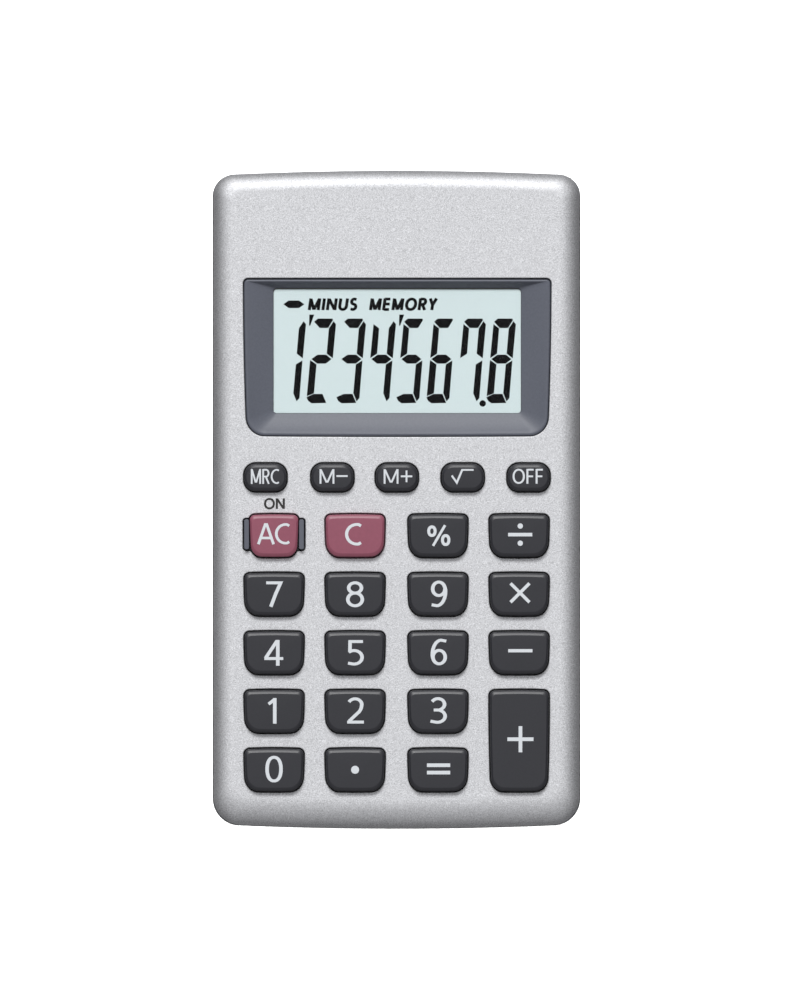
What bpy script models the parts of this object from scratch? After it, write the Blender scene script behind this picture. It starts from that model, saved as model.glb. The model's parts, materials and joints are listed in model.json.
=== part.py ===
"""Wedge-shaped pocket calculator: two moulded case halves, a recessed display, 24 keys over a rubber
keypad and a circuit board, and one round cell behind a sliding cover.

Lengths are millimetres. Nearly every piece is described in the panel frame, whose x runs across the
front panel, y up it and z out of it, with z = 0 on the panel's outer face. An empty tilts that frame
so that the flat back lies on the ground plane. The battery cover and its opening lie along the
back, so they are described in the ground frame itself.
"""

import math

import bmesh
import bpy
from mathutils import Vector

MM = 0.001

# Body, driving dimensions
WIDTH = 57.0
LENGTH = 102.0
DEPTH_TOP = 19.0
DEPTH_BOTTOM = 9.5
WALL = 1.5
PANEL = 1.6
BOW_TOP = 0.73
BOW_BOTTOM = 0.70
CORNER_TOP = 3.1
CORNER_BOTTOM = 4.0
EDGE_SIDE = 3.3
EDGE_TOP = 2.6
EDGE_BOTTOM = 5.0
EDGE_DROP = 2.6
BACK_EDGE = 1.8
FLOOR = 1.6
PART_LINE = -7.0
GAP = 0.2

# Worked out from them
END = LENGTH / 2
SLOPE = (DEPTH_TOP - DEPTH_BOTTOM) / LENGTH
TILT = math.atan(SLOPE)
DEPTH_MIDDLE = (DEPTH_TOP + DEPTH_BOTTOM) / 2

# Keys
TRAVEL = 1.0
KEY_RISE = 1.3
KEY_GAP = 0.2
KEY_BEVEL = 0.45
FLANGE_REACH = 0.5
FLANGE_TOP = -PANEL - GAP
FLANGE_BOTTOM = -2.7
MAIN_WIDTH = 9.5
MAIN_HEIGHT = 7.0
MAIN_COLUMNS = (-18.92, -6.39, 6.39, 18.92)
ROW_ONE = -5.39
ROW_PITCH = 9.064
SMALL_WIDTH = 6.95
SMALL_HEIGHT = 4.65
SMALL_PITCH = 10.17
SMALL_ROW = 3.65
GUARDED_WIDTH = 8.0
GUARD_WIDTH = 0.75
GUARD_HEIGHT = 4.75
GUARD_OFFSET = 4.35
GUARD_RISE = 0.95

# Rubber keypad and board
DOME_TOP = -2.9
SHEET_TOP = -4.4
SHEET_BOTTOM = -5.3
BOARD_TOP = -5.4
BOARD_BOTTOM = -6.6
BOARD_WIDTH = 45.6
BOARD_UPPER = 33.4
BOARD_LOWER = -46.0

# Display
BEZEL_WIDTH = 47.75
BEZEL_UPPER = 34.35
BEZEL_LOWER = 9.85
BEZEL_TAPER = 0.45
BEZEL_CORNER_TOP = 0.8
BEZEL_CORNER_BOTTOM = 2.9
WINDOW_WIDTH = 38.4
WINDOW_UPPER = 32.8
WINDOW_LOWER = 13.4
WINDOW_CORNER = 0.6
BEZEL_DEPTH = 1.6
PANE_WIDTH = 40.6
PANE_UPPER = 33.7
PANE_LOWER = 12.3
PANE_Z = (-1.8, -2.05)
FILM_Z = (-2.1, -2.25)
GLASS_WIDTH = 43.0
GLASS_UPPER = 34.0
GLASS_LOWER = 10.9
GLASS_LEDGE = 2.4
FRONT_GLASS_Z = (-2.35, -3.05)
REAR_GLASS_Z = (-3.1, -3.8)
REFLECTOR_Z = (-3.85, -4.0)

# Cell bay
CELL_RADIUS = 7.15
CELL_X = (-23.6, 25.4)
NUB_RADIUS = 2.75
NUB_LENGTH = 1.0
CELL_Y = 41.1
CELL_Z = -9.1
BAY_WALL_Y = (32.5, 33.5)
PLATE_X = 26.55
PLATE_THICK = 0.3
LEAD_RADIUS = 0.5

# Screws
CASE_SCREWS = ((24.9, -46.6), (-24.9, -46.6), (25.5, 30.0), (-25.5, 30.0))
BOSS_RADIUS = 1.45
PILOT_RADIUS = 0.75
SHANK_RADIUS = 0.6
REAR_BOSS_RADIUS = 2.2
COUNTERBORE_RADIUS = 1.6
HEAD_RADIUS = 1.3
BOARD_BOSS_RADIUS = 1.2
BOARD_PILOT_RADIUS = 0.75
SCREW_TIP = -3.2

# Battery cover, in the ground frame
COVER_HALF = 21.5
COVER_START = 33.2
COVER_THICK = 1.5
COVER_LIFT = 0.1
RAIL_WIDTH = 0.8
RAIL_Z = (0.75, 1.3)

KEY_COLOUR = (0.047, 0.050, 0.058)
RED_COLOUR = (0.31, 0.105, 0.148)
PALETTE = {
    "silver_paint": ((0.66, 0.67, 0.69), 0.42, 0.55),
    "charcoal_plastic": ((0.055, 0.057, 0.065), 0.55, 0.0),
    "grey_plastic": ((0.125, 0.13, 0.155), 0.48, 0.0),
    "key_plastic": (KEY_COLOUR, 0.40, 0.0),
    "red_key_plastic": (RED_COLOUR, 0.40, 0.0),
    "clear_plastic": ((0.90, 0.95, 0.94), 0.05, 0.0),
    "display_film": ((0.66, 0.76, 0.76), 0.35, 0.0),
    "glass": ((0.80, 0.88, 0.86), 0.05, 0.0),
    "reflector_foil": ((0.62, 0.64, 0.62), 0.35, 0.6),
    "white_plastic": ((0.78, 0.78, 0.76), 0.5, 0.0),
    "conductive_rubber": ((0.03, 0.03, 0.03), 0.7, 0.0),
    "keypad_rubber": ((0.42, 0.44, 0.46), 0.65, 0.0),
    "board_laminate": ((0.035, 0.16, 0.075), 0.45, 0.0),
    "epoxy": ((0.015, 0.015, 0.017), 0.3, 0.0),
    "can_metal": ((0.55, 0.56, 0.58), 0.3, 0.9),
    "cell_jacket": ((0.10, 0.13, 0.22), 0.35, 0.2),
    "nickel": ((0.62, 0.60, 0.56), 0.28, 1.0),
    "screw_steel": ((0.32, 0.32, 0.33), 0.35, 1.0),
    "red_wire": ((0.45, 0.03, 0.03), 0.5, 0.0),
    "black_wire": ((0.02, 0.02, 0.02), 0.5, 0.0),
}


# ---------------------------------------------------------------- tools


def clear_scene():
    for obj in list(bpy.data.objects):
        bpy.data.objects.remove(obj)


def make_materials():
    made = {}
    for name, (colour, roughness, metallic) in PALETTE.items():
        material = bpy.data.materials.new(name)
        material.use_nodes = True
        shader = material.node_tree.nodes["Principled BSDF"]
        shader.inputs["Base Color"].default_value = (*colour, 1.0)
        shader.inputs["Roughness"].default_value = roughness
        shader.inputs["Metallic"].default_value = metallic
        made[name] = material
    return made


def tilted_frame():
    """The empty that carries the panel frame, placed so that the flat back lies on z = 0."""
    frame = bpy.data.objects.new("panel_frame", None)
    frame.rotation_euler = (TILT, 0.0, 0.0)
    frame.location = (0.0, -DEPTH_MIDDLE * math.sin(TILT) * MM, DEPTH_MIDDLE * math.cos(TILT) * MM)
    bpy.context.scene.collection.objects.link(frame)
    return frame


def back_z(y):
    """Height of the flat back in the panel frame."""
    return -DEPTH_MIDDLE - SLOPE * y


def rectangle(width, upper, lower, corner_upper, corner_lower, steps=3, edges=1):
    """Anticlockwise points of a rectangle with rounded corners, with extra points along its ends."""
    half = width / 2
    corners = (
        (half - corner_lower, lower + corner_lower, corner_lower, -90),
        (half - corner_upper, upper - corner_upper, corner_upper, 0),
        (corner_upper - half, upper - corner_upper, corner_upper, 90),
        (corner_lower - half, lower + corner_lower, corner_lower, 180),
    )
    points = []
    for number, (x, y, radius, start) in enumerate(corners):
        for step in range(steps + 1):
            angle = math.radians(start + 90 * step / steps)
            points.append((x + radius * math.cos(angle), y + radius * math.sin(angle)))
        if number in (1, 3):
            following = corners[(number + 1) % 4]
            first, last = Vector(points[-1]), Vector((following[0], points[-1][1]))
            points += [tuple(first.lerp(last, n / edges)) for n in range(1, edges)]
    return points


def bowed(points, width, upper, lower, bow_upper, bow_lower, taper=0.0):
    """The same points with both ends bowed outwards and the sides drawn in towards the lower end."""
    half, middle = width / 2, (upper + lower) / 2
    moved = []
    for x, y in points:
        arch = 1 - (x / half) ** 2
        drawn = x * (1 - taper / half * ((upper - y) / (upper - lower)) ** 2)
        moved.append((drawn, y + (bow_upper if y > middle else -bow_lower) * arch))
    return moved


def circle(x, y, radius, sides):
    turns = [2 * math.pi * (n + 0.5) / sides for n in range(sides)]
    return [(x + radius * math.cos(turn), y + radius * math.sin(turn)) for turn in turns]


def at_height(points, z):
    return [(x, y, z) for x, y in points]


def link(name, mesh, frame, material):
    obj = bpy.data.objects.new(name, mesh)
    bpy.context.scene.collection.objects.link(obj)
    obj.parent = frame
    if material is not None:
        mesh.materials.append(material)
    mesh.shade_smooth()
    mesh.set_sharp_from_angle(angle=math.radians(32))
    return obj


def solid(name, stacks, frame=None, material=None, looped=False):
    """One object made of closed bodies. Each stack is a list of rings with as many points each,
    capped at both ends, or joined end to end when looped."""
    shape = bmesh.new()
    for rings in stacks:
        loops = [[shape.verts.new(Vector(point) * MM) for point in ring] for ring in rings]
        pairs = list(zip(loops, loops[1:]))
        if looped:
            pairs.append((loops[-1], loops[0]))
        else:
            shape.faces.new(loops[0])
            shape.faces.new(loops[-1])
        for near, far in pairs:
            for a in range(len(near)):
                b = (a + 1) % len(near)
                shape.faces.new((near[a], near[b], far[b], far[a]))
    bmesh.ops.recalc_face_normals(shape, faces=shape.faces)
    mesh = bpy.data.meshes.new(name)
    shape.to_mesh(mesh)
    shape.free()
    return link(name, mesh, frame, material)


def prism(points, low, high):
    return [at_height(points, low), at_height(points, high)]


def block(x, y, z):
    """A box as a stack, from its three (low, high) pairs."""
    corners = [(x[0], y[0]), (x[1], y[0]), (x[1], y[1]), (x[0], y[1])]
    return prism(corners, *z)


def post(x, y, radius, low, high, sides=16):
    return prism(circle(x, y, radius, sides), low, high)


def turned(profile, y, z, sides=20):
    """A stack turned about a line along x at (y, z), from (x, radius) pairs."""
    return [[(x, y + a, z + b) for a, b in circle(0, 0, radius, sides)] for x, radius in profile]


def helper(name, stacks, frame=None, looped=False):
    tool = solid(name, stacks, frame, None, looped)
    tool.hide_render = True
    tool.display_type = "WIRE"
    return tool


def combine(target, tool, operation, crossing=False):
    boolean = target.modifiers.new(tool.name, "BOOLEAN")
    boolean.operation = operation
    boolean.object = tool
    boolean.solver = "EXACT"
    boolean.use_self = crossing


def cut(target, tool, crossing=False):
    combine(target, tool, "DIFFERENCE", crossing)


def join(target, tool, crossing=False):
    combine(target, tool, "UNION", crossing)


# ---------------------------------------------------------------- outlines


def case_outline(inset=0.0, upper=END, lower=-END, steps=5, edges=6):
    """The case's outline drawn in by inset, with its bowed ends."""
    width = WIDTH - 2 * inset
    top, bottom = upper - BOW_TOP - inset, lower + BOW_BOTTOM + inset
    radius_top, radius_bottom = max(CORNER_TOP - inset, 0.6), max(CORNER_BOTTOM - inset, 0.9)
    points = rectangle(width, top, bottom, radius_top, radius_bottom, steps, edges)
    return bowed(points, width, top, bottom, BOW_TOP, BOW_BOTTOM)


def main_key_outline(width, height, grow):
    """A main key's outline about its own centre: a shield with small upper and large lower corners."""
    wide, tall = width + 2 * grow, height / 2 + grow
    bow = 0.12
    points = rectangle(wide, tall - bow, bow - tall, 0.95 + grow, 2.1 + grow, 3, 2)
    return bowed(points, wide, tall - bow, bow - tall, bow, bow, taper=0.28)


def small_key_outline(width, height, grow):
    """A function key's outline about its own centre: a pill with flattened ends."""
    wide, tall = width + 2 * grow, height / 2 + grow
    return rectangle(wide, tall, -tall, 1.95 + grow, 1.95 + grow, 4, 1)


def moved(points, x, y):
    return [(a + x, b + y) for a, b in points]


def key_table():
    """Name, centre, aperture size, outline and material of every key."""
    names = (
        ("key_all_clear", "key_clear", "key_percent", "key_divide"),
        ("key_7", "key_8", "key_9", "key_multiply"),
        ("key_4", "key_5", "key_6", "key_minus"),
        ("key_1", "key_2", "key_3", "key_plus"),
        ("key_0", "key_point", "key_equals", None),
    )
    table = []
    for row, line in enumerate(names):
        for x, name in zip(MAIN_COLUMNS, line):
            if name is None:
                continue
            y, height, width = ROW_ONE - row * ROW_PITCH, MAIN_HEIGHT, MAIN_WIDTH
            if name == "key_plus":
                y, height = y - ROW_PITCH / 2, height + ROW_PITCH
            if name == "key_all_clear":
                width = GUARDED_WIDTH
            colour = "red_key_plastic" if name in ("key_all_clear", "key_clear") else "key_plastic"
            table.append((name, x, y, width, height, main_key_outline, colour))
    small = ("key_memory_recall", "key_memory_minus", "key_memory_plus", "key_root", "key_off")
    for number, name in enumerate(small):
        x = (number - 2) * SMALL_PITCH
        table.append((name, x, SMALL_ROW, SMALL_WIDTH, SMALL_HEIGHT, small_key_outline, "key_plastic"))
    return table


def board_screw_places():
    """Where four main keys' corners meet, so that a boss fits between them."""
    x = (MAIN_COLUMNS[3] + MAIN_COLUMNS[2]) / 2
    rows = (ROW_ONE - 0.5 * ROW_PITCH, ROW_ONE - 2.5 * ROW_PITCH)
    return [(side * x, y) for y in rows for side in (1, -1)]


# ---------------------------------------------------------------- case


def front_case(frame, material):
    steps = 4
    rings = [at_height(case_outline(), PART_LINE + GAP / 2)]
    for step in range(steps + 1):
        turn = math.radians(90 * step / steps)
        drawn, z = 1 - math.cos(turn), EDGE_DROP * (math.sin(turn) - 1)
        width = WIDTH - 2 * EDGE_SIDE * drawn
        top = END - BOW_TOP - EDGE_TOP * drawn
        bottom = BOW_BOTTOM - END + EDGE_BOTTOM * drawn
        corner_top, corner_bottom = CORNER_TOP - 1.6 * drawn, CORNER_BOTTOM - 1.8 * drawn
        points = rectangle(width, top, bottom, corner_top, corner_bottom, 5, 6)
        rings.append(at_height(bowed(points, width, top, bottom, BOW_TOP, BOW_BOTTOM), z))
    case = solid("front_case", [rings], frame, material)
    cut(case, helper("front_hollow", [prism(case_outline(WALL), PART_LINE - 1, -PANEL)], frame))

    bosses = [post(x, y, BOSS_RADIUS, PART_LINE + GAP, -PANEL + 0.5) for x, y in CASE_SCREWS]
    bosses += [
        post(x, y, BOARD_BOSS_RADIUS, BOARD_TOP + 0.1, -PANEL + 0.5, 12)
        for x, y in board_screw_places()
    ]
    bosses += [block((x - 0.6, x + 0.6), (35.6, END - WALL), (-6.0, -PANEL + 0.5)) for x in (-14, 0, 14)]
    join(case, helper("front_bosses", bosses, frame))

    openings = []
    for _, x, y, width, height, outline, _ in key_table():
        openings.append(prism(moved(outline(width, height, 0), x, y), -3.0, 1.0))
    openings.append(prism(bezel_outline(0.0), -3.0, 1.0))
    openings += [post(x, y, PILOT_RADIUS, PART_LINE - 1, -PANEL - 1.0, 12) for x, y in CASE_SCREWS]
    openings += [
        post(x, y, BOARD_PILOT_RADIUS, PART_LINE, -PANEL - 1.0, 8) for x, y in board_screw_places()
    ]
    openings.append(turned([(-26.8, CELL_RADIUS + 0.3), (26.8, CELL_RADIUS + 0.3)], CELL_Y, CELL_Z, 28))
    cut(case, helper("front_openings", openings, frame))

    x, y = MAIN_COLUMNS[0], ROW_ONE
    reach = GUARD_OFFSET + GUARD_WIDTH / 2 + KEY_GAP
    slot = rectangle(2 * reach, y + GUARD_HEIGHT / 2 + KEY_GAP, y - GUARD_HEIGHT / 2 - KEY_GAP, 0.5, 0.5, 2)
    cut(case, helper("guard_slot", [prism(moved(slot, x, 0), -3.0, 1.0)], frame))
    return case


def rear_outer(name, frame, grow=0.0):
    """The rear half's outer form: straight sides below the parting line and a rounded back edge."""
    steps = 3
    rings = [at_height(case_outline(-grow), PART_LINE - GAP / 2)]
    for step in range(steps + 1):
        turn = math.radians(90 * step / steps)
        inset, lift = BACK_EDGE * (1 - math.cos(turn)), BACK_EDGE * (1 - math.sin(turn))
        points = case_outline(inset - grow)
        rings.append([(x, y, back_z(y) + lift - grow) for x, y in points])
    return solid(name, [rings], frame)


def rear_case(frame, material):
    case = rear_outer("rear_case", frame)
    case.data.materials.append(material)
    inside = case_outline(WALL)
    hollow = [at_height(inside, PART_LINE + 1), [(x, y, back_z(y) + FLOOR) for x, y in inside]]
    cut(case, helper("rear_hollow", [hollow], frame))

    section = ((1.2, -8.8), (1.2, -7.2), (1.65, -7.2), (1.65, -6.0), (2.3, -6.0), (2.3, -8.0))
    lip = [at_height(case_outline(inset), z) for inset, z in section]
    join(case, helper("rear_lip", [lip], frame, looped=True))

    ribs = [
        [[(x, y + side, z) for x, z in rib_outline(y)] for side in (-0.5, 0.5)]
        for y in (21.0, 3.0, -15.0, -33.0)
    ]
    low, high = BAY_WALL_Y
    ribs.append([[(x, y, z) for x, z in rib_outline(y, PART_LINE - 0.1)] for y in (low, high)])
    join(case, helper("rear_ribs", ribs, frame))
    bosses = [
        post(x, y, REAR_BOSS_RADIUS, back_z(y) + FLOOR / 2, PART_LINE) for x, y in CASE_SCREWS
    ]
    join(case, helper("rear_bosses", bosses, frame))

    bay = rectangle(WIDTH - 2 * WALL, END - WALL - BOW_TOP, high, 1.6, 0.5, 4, 6)
    bay = bowed(bay, WIDTH - 2 * WALL, END - WALL - BOW_TOP, high, BOW_TOP, 0)
    cut(case, helper("bay_room", [prism(bay, -14.0, -5.0)], frame))
    holes = []
    for x, y in CASE_SCREWS:
        holes.append(post(x, y, COUNTERBORE_RADIUS, back_z(y) - 2, PART_LINE - 1.3))
    cut(case, helper("counterbores", holes, frame))
    holes = [post(x, y, PILOT_RADIUS + 0.1, PART_LINE - 3, PART_LINE + 1, 12) for x, y in CASE_SCREWS]
    cut(case, helper("screw_holes", holes, frame))
    reliefs = [post(x, y, BOSS_RADIUS + 0.3, PART_LINE + 0.02, PART_LINE + 2) for x, y in CASE_SCREWS]
    cut(case, helper("boss_reliefs", reliefs, frame))
    slots = [block((x - 1.7, x + 1.7), (low - 1, high + 0.3), (-13.9, -5)) for x in (22.2, -22.2)]
    cut(case, helper("lead_slots", slots, frame))

    room = block((-COVER_HALF - GAP, COVER_HALF + GAP), (COVER_START - GAP, 60), (-1, COVER_THICK + GAP))
    cut(case, helper("cover_opening", [room]))
    reach = COVER_HALF + RAIL_WIDTH + GAP
    groove = block((-reach, reach), (COVER_START + 1, 60), (RAIL_Z[0] - 0.15, RAIL_Z[1] + 0.15))
    cut(case, helper("cover_grooves", [groove]))
    return case


def rib_outline(y, upper=-8.0):
    """Corner points of a wall standing across the rear case at y, in x and z."""
    half, lower = WIDTH / 2 - WALL / 2, back_z(y) + FLOOR / 2
    return [(-half, lower), (half, lower), (half, upper), (-half, upper)]


def battery_cover(material):
    """The sliding cover: the piece of the rear form that fills its opening, with two side rails."""
    cover = solid(
        "battery_cover",
        [block((-COVER_HALF, COVER_HALF), (COVER_START, 60), (COVER_LIFT, COVER_THICK))],
        material=material,
    )
    frame = bpy.data.objects["panel_frame"]
    form = rear_outer("cover_form", frame)
    form.hide_render = True
    form.display_type = "WIRE"
    combine(cover, form, "INTERSECT")
    rails = [
        block((side * (COVER_HALF - 0.5), side * (COVER_HALF + RAIL_WIDTH)), (COVER_START + 2, 48), RAIL_Z)
        for side in (1, -1)
    ]
    join(cover, helper("cover_rails", rails))
    grips = [block((-7, 7), (y, y + 0.8), (-1, 0.5)) for y in (41.0, 42.6, 44.2, 45.8)]
    cut(cover, helper("cover_grips", grips))
    return cover


# ---------------------------------------------------------------- keys and keypad


def key(name, x, y, width, height, outline, frame, material):
    """One keycap: a bevelled cap in its aperture, on a wider flange that holds it in."""
    cap, flange = -KEY_GAP, FLANGE_REACH
    profile = (
        (flange, FLANGE_BOTTOM),
        (flange, FLANGE_TOP),
        (cap, FLANGE_TOP),
        (cap, KEY_RISE - KEY_BEVEL),
        (cap - 0.13, KEY_RISE - 0.13),
        (cap - KEY_BEVEL, KEY_RISE),
    )
    if name == "key_all_clear":
        profile = ((cap, FLANGE_BOTTOM),) + profile[3:]
    rings = [at_height(outline(width, height, grow), z) for grow, z in profile]
    cap = solid(name, [rings], frame, material)
    cap.location = (x * MM, y * MM, 0)
    if name == "key_all_clear":
        ends = [block((-2.6, 2.6), (-4.0, 4.0), (FLANGE_BOTTOM, FLANGE_TOP))]
        tabs = helper("all_clear_tabs", ends, frame)
        tabs.location = cap.location
        join(cap, tabs)
    return cap


def key_guard(name, side, frame, material):
    """One of the two ribs beside the all-clear key, on a foot that stands on the rubber keypad."""
    x, y = MAIN_COLUMNS[0] + side * GUARD_OFFSET, ROW_ONE
    rib = rectangle(GUARD_WIDTH, GUARD_HEIGHT / 2, -GUARD_HEIGHT / 2, 0.3, 0.3, 2)
    tip = rectangle(GUARD_WIDTH - 0.3, GUARD_HEIGHT / 2 - 0.15, 0.15 - GUARD_HEIGHT / 2, 0.2, 0.2, 2)
    rings = [at_height(rib, -3.0), at_height(rib, GUARD_RISE - 0.2), at_height(tip, GUARD_RISE)]
    guard = solid(name, [rings], frame, material)
    guard.location = (x * MM, y * MM, 0)
    foot = helper(name + "_foot", [block((-0.38, 1.0), (-2.9, 2.9), (SHEET_TOP + 0.1, FLANGE_TOP))], frame)
    foot.location = guard.location
    foot.scale = (side, 1, 1)
    join(guard, foot)
    return guard


def rubber_keypad(keys, frame, material):
    outline = rectangle(49.4, SMALL_ROW + 3.2, -45.4, 2.0, 4.0, 3)
    sheet = solid("rubber_keypad", [prism(outline, SHEET_BOTTOM, SHEET_TOP)], frame, material)
    domes = []
    for _, x, y, width, height, _, _ in keys:
        base = 0.42 * min(width, height)
        profile = (
            (base, SHEET_TOP - 0.3),
            (base, SHEET_TOP + 0.1),
            (0.72 * base, DOME_TOP - 0.3),
            (0.66 * base, DOME_TOP),
        )
        domes.append([at_height(circle(x, y, radius, 10), z) for radius, z in profile])
    join(sheet, helper("keypad_domes", domes, frame))
    holes = [
        post(x, y, BOARD_BOSS_RADIUS + 0.25, SHEET_BOTTOM - 1, SHEET_TOP + 1, 12)
        for x, y in board_screw_places()
    ]
    cut(sheet, helper("keypad_holes", holes, frame))
    return sheet


# ---------------------------------------------------------------- display


def bezel_outline(inset, steps=4):
    width, upper, lower = BEZEL_WIDTH - 2 * inset, BEZEL_UPPER - inset, BEZEL_LOWER + inset
    corner_top, corner_bottom = max(BEZEL_CORNER_TOP - inset, 0.3), BEZEL_CORNER_BOTTOM - inset
    points = rectangle(width, upper, lower, corner_top, corner_bottom, steps, 2)
    return bowed(points, width, upper, lower, 0, 0.1, BEZEL_TAPER)


def display_bezel(frame, material):
    """The frame that slopes in to the display's window, with a flange under the front panel."""
    window = rectangle(WINDOW_WIDTH, WINDOW_UPPER, WINDOW_LOWER, WINDOW_CORNER, WINDOW_CORNER, 4, 2)
    recess = rectangle(41.0, 33.9, 12.1, WINDOW_CORNER, WINDOW_CORNER, 4, 2)
    outer, flange = bezel_outline(0.12), bezel_outline(-0.9)
    rings = [
        at_height(window, -BEZEL_DEPTH - 0.15),
        at_height(recess, -BEZEL_DEPTH - 0.15),
        at_height(recess, -2.3),
        at_height(flange, -2.3),
        at_height(flange, FLANGE_TOP),
        at_height(outer, FLANGE_TOP),
        at_height(outer, -0.2),
        at_height(bezel_outline(0.4), -0.2),
        at_height(window, -BEZEL_DEPTH),
    ]
    bezel = solid("display_bezel", [rings], frame, material, looped=True)
    notches = [post(x, y, BOSS_RADIUS + 0.2, -3, FLANGE_TOP + 0.05) for x, y in CASE_SCREWS[2:]]
    cut(bezel, helper("bezel_notches", notches, frame))


def plate(name, outline, heights, frame, material):
    """A flat sheet of the display, between the two heights given."""
    high, low = heights
    return solid(name, [prism(outline, low, high)], frame, material)


def display(frame, materials):
    """The window, the liquid crystal cell between its films, and what holds and connects it."""
    ledge = GLASS_LOWER + GLASS_LEDGE
    pane = rectangle(PANE_WIDTH, PANE_UPPER, PANE_LOWER, 0.3, 0.3, 2)
    front_glass = rectangle(GLASS_WIDTH, GLASS_UPPER, GLASS_LOWER, 0.15, 0.15, 2)
    rear_glass = rectangle(GLASS_WIDTH, GLASS_UPPER, ledge, 0.15, 0.15, 2)
    mirror = rectangle(PANE_WIDTH, PANE_UPPER, ledge + 0.2, 0.3, 0.3, 2)
    strip = rectangle(40.0, ledge - 0.3, GLASS_LOWER + 0.2, 0.15, 0.15, 2)
    rim = rectangle(GLASS_WIDTH + 2.4, 34.7, 9.8, 0.5, 0.5, 2)
    strip_z = (FRONT_GLASS_Z[1] - 0.05, BOARD_TOP + 0.05)
    holder_z = (-2.4, BOARD_TOP + 0.1)

    display_bezel(frame, materials["grey_plastic"])
    plate("display_window", pane, PANE_Z, frame, materials["clear_plastic"])
    plate("lcd_front_film", pane, FILM_Z, frame, materials["display_film"])
    plate("lcd_front_glass", front_glass, FRONT_GLASS_Z, frame, materials["glass"])
    plate("lcd_rear_glass", rear_glass, REAR_GLASS_Z, frame, materials["glass"])
    plate("lcd_reflector", mirror, REFLECTOR_Z, frame, materials["reflector_foil"])
    plate("contact_strip", strip, strip_z, frame, materials["conductive_rubber"])
    holder = plate("lcd_holder", rim, holder_z, frame, materials["white_plastic"])
    pocket = rectangle(GLASS_WIDTH + 0.3, GLASS_UPPER + 0.15, GLASS_LOWER - 0.15, 0.2, 0.2, 2)
    cut(holder, helper("holder_pocket", [prism(pocket, BOARD_TOP - 1, -2)], frame))


# ---------------------------------------------------------------- board


def circuit_board(frame, materials):
    outline = rectangle(BOARD_WIDTH, BOARD_UPPER, BOARD_LOWER, 1.0, 1.0, 2)
    slab = prism(outline, BOARD_BOTTOM, BOARD_TOP)
    board = solid("circuit_board", [slab], frame, materials["board_laminate"])
    holes = [
        post(x, y, BOARD_PILOT_RADIUS + 0.1, BOARD_BOTTOM - 1, BOARD_TOP + 1, 12)
        for x, y in board_screw_places()
    ]
    cut(board, helper("board_holes", holes, frame))

    under = BOARD_BOTTOM - 0.1
    dome = ((4.6, under), (4.4, under - 0.4), (3.6, under - 0.85), (2.2, under - 1.1))
    rings = [at_height(circle(0, 14.0, radius, 20), z) for radius, z in dome]
    solid("chip_cover", [rings], frame, materials["epoxy"])
    can = ((8.0, 1.7), (8.2, 2.0), (12.6, 2.0), (12.8, 1.8), (13.0, 2.0), (13.6, 2.0), (13.7, 1.7))
    solid("capacitor", [turned(can, 26.5, under - 2.1, 16)], frame, materials["can_metal"])
    body = ((-13.8, 0.7), (-13.4, 1.0), (-12.8, 0.8), (-11.2, 0.8), (-10.6, 1.0), (-10.2, 0.7))
    solid("resistor", [turned(body, 26.5, under - 1.1, 12)], frame, materials["white_plastic"])


# ---------------------------------------------------------------- cell and contacts


def cell(frame, material):
    left, right = CELL_X
    profile = (
        (left, 5.6),
        (left, CELL_RADIUS - 0.4),
        (left + 0.3, CELL_RADIUS),
        (right - 0.3, CELL_RADIUS),
        (right, CELL_RADIUS - 0.4),
        (right, NUB_RADIUS),
        (right + NUB_LENGTH - 0.2, NUB_RADIUS),
        (right + NUB_LENGTH, NUB_RADIUS - 0.3),
    )
    solid("cell", [turned(profile, CELL_Y, CELL_Z, 24)], frame, material)


def contact_plate(name, side, frame, material):
    """A sprung-steel plate against the bay's end wall, with a tab for its lead."""
    x = sorted((side * PLATE_X, side * (PLATE_X + PLATE_THICK)))
    contact = solid(name, [block(x, (CELL_Y - 4, CELL_Y + 4), (CELL_Z - 4, CELL_Z + 4))], frame, material)
    tab = helper(name + "_tab", [block(x, (34.3, CELL_Y - 3), (-14.2, CELL_Z - 3))], frame)
    join(contact, tab)
    return contact


def spring_coil(frame):
    """The cone-shaped coil that presses on the cell's flat end, as a closed tube."""
    turns, steps, sides, wire = 2.25, 14, 6, 0.35
    start, end = -PLATE_X - 0.1, CELL_X[0] - wire - 0.05
    count = int(turns * steps)
    rings = []
    for n in range(count + 1):
        share = n / count
        angle, radius = 2 * math.pi * turns * share, 3.6 - 1.2 * share
        x = start + (end - start) * share
        outward = Vector((0, math.cos(angle), math.sin(angle)))
        centre = Vector((x, CELL_Y, CELL_Z)) + outward * radius
        ring = []
        for k in range(sides):
            around = 2 * math.pi * k / sides
            ring.append(centre + wire * (math.cos(around) * outward + math.sin(around) * Vector((1, 0, 0))))
        rings.append(ring)
    return helper("spring_coil", [rings], frame)


def lead(name, side, frame, material):
    """A short wire from a contact's tab, through its slot, to the underside of the board."""
    route = (
        (25.9, 35.0, -13.6),
        (25.2, 34.5, -13.75),
        (24.1, 34.1, -13.6),
        (23.0, 33.6, -13.3),
        (22.1, 33.0, -13.0),
        (21.3, 32.1, -12.4),
        (20.6, 31.0, -11.2),
        (20.1, 30.2, -9.6),
        (19.9, 29.8, -8.2),
        (19.9, 29.7, -7.0),
    )
    curve = bpy.data.curves.new(name, "CURVE")
    curve.dimensions = "3D"
    curve.bevel_depth = LEAD_RADIUS * MM
    curve.bevel_resolution = 2
    curve.use_fill_caps = True
    spline = curve.splines.new("POLY")
    spline.points.add(len(route) - 1)
    for point, (x, y, z) in zip(spline.points, route):
        point.co = (side * x * MM, y * MM, z * MM, 1.0)
    curve.materials.append(material)
    wire = bpy.data.objects.new(name, curve)
    bpy.context.scene.collection.objects.link(wire)
    wire.parent = frame


# ---------------------------------------------------------------- screws


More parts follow.
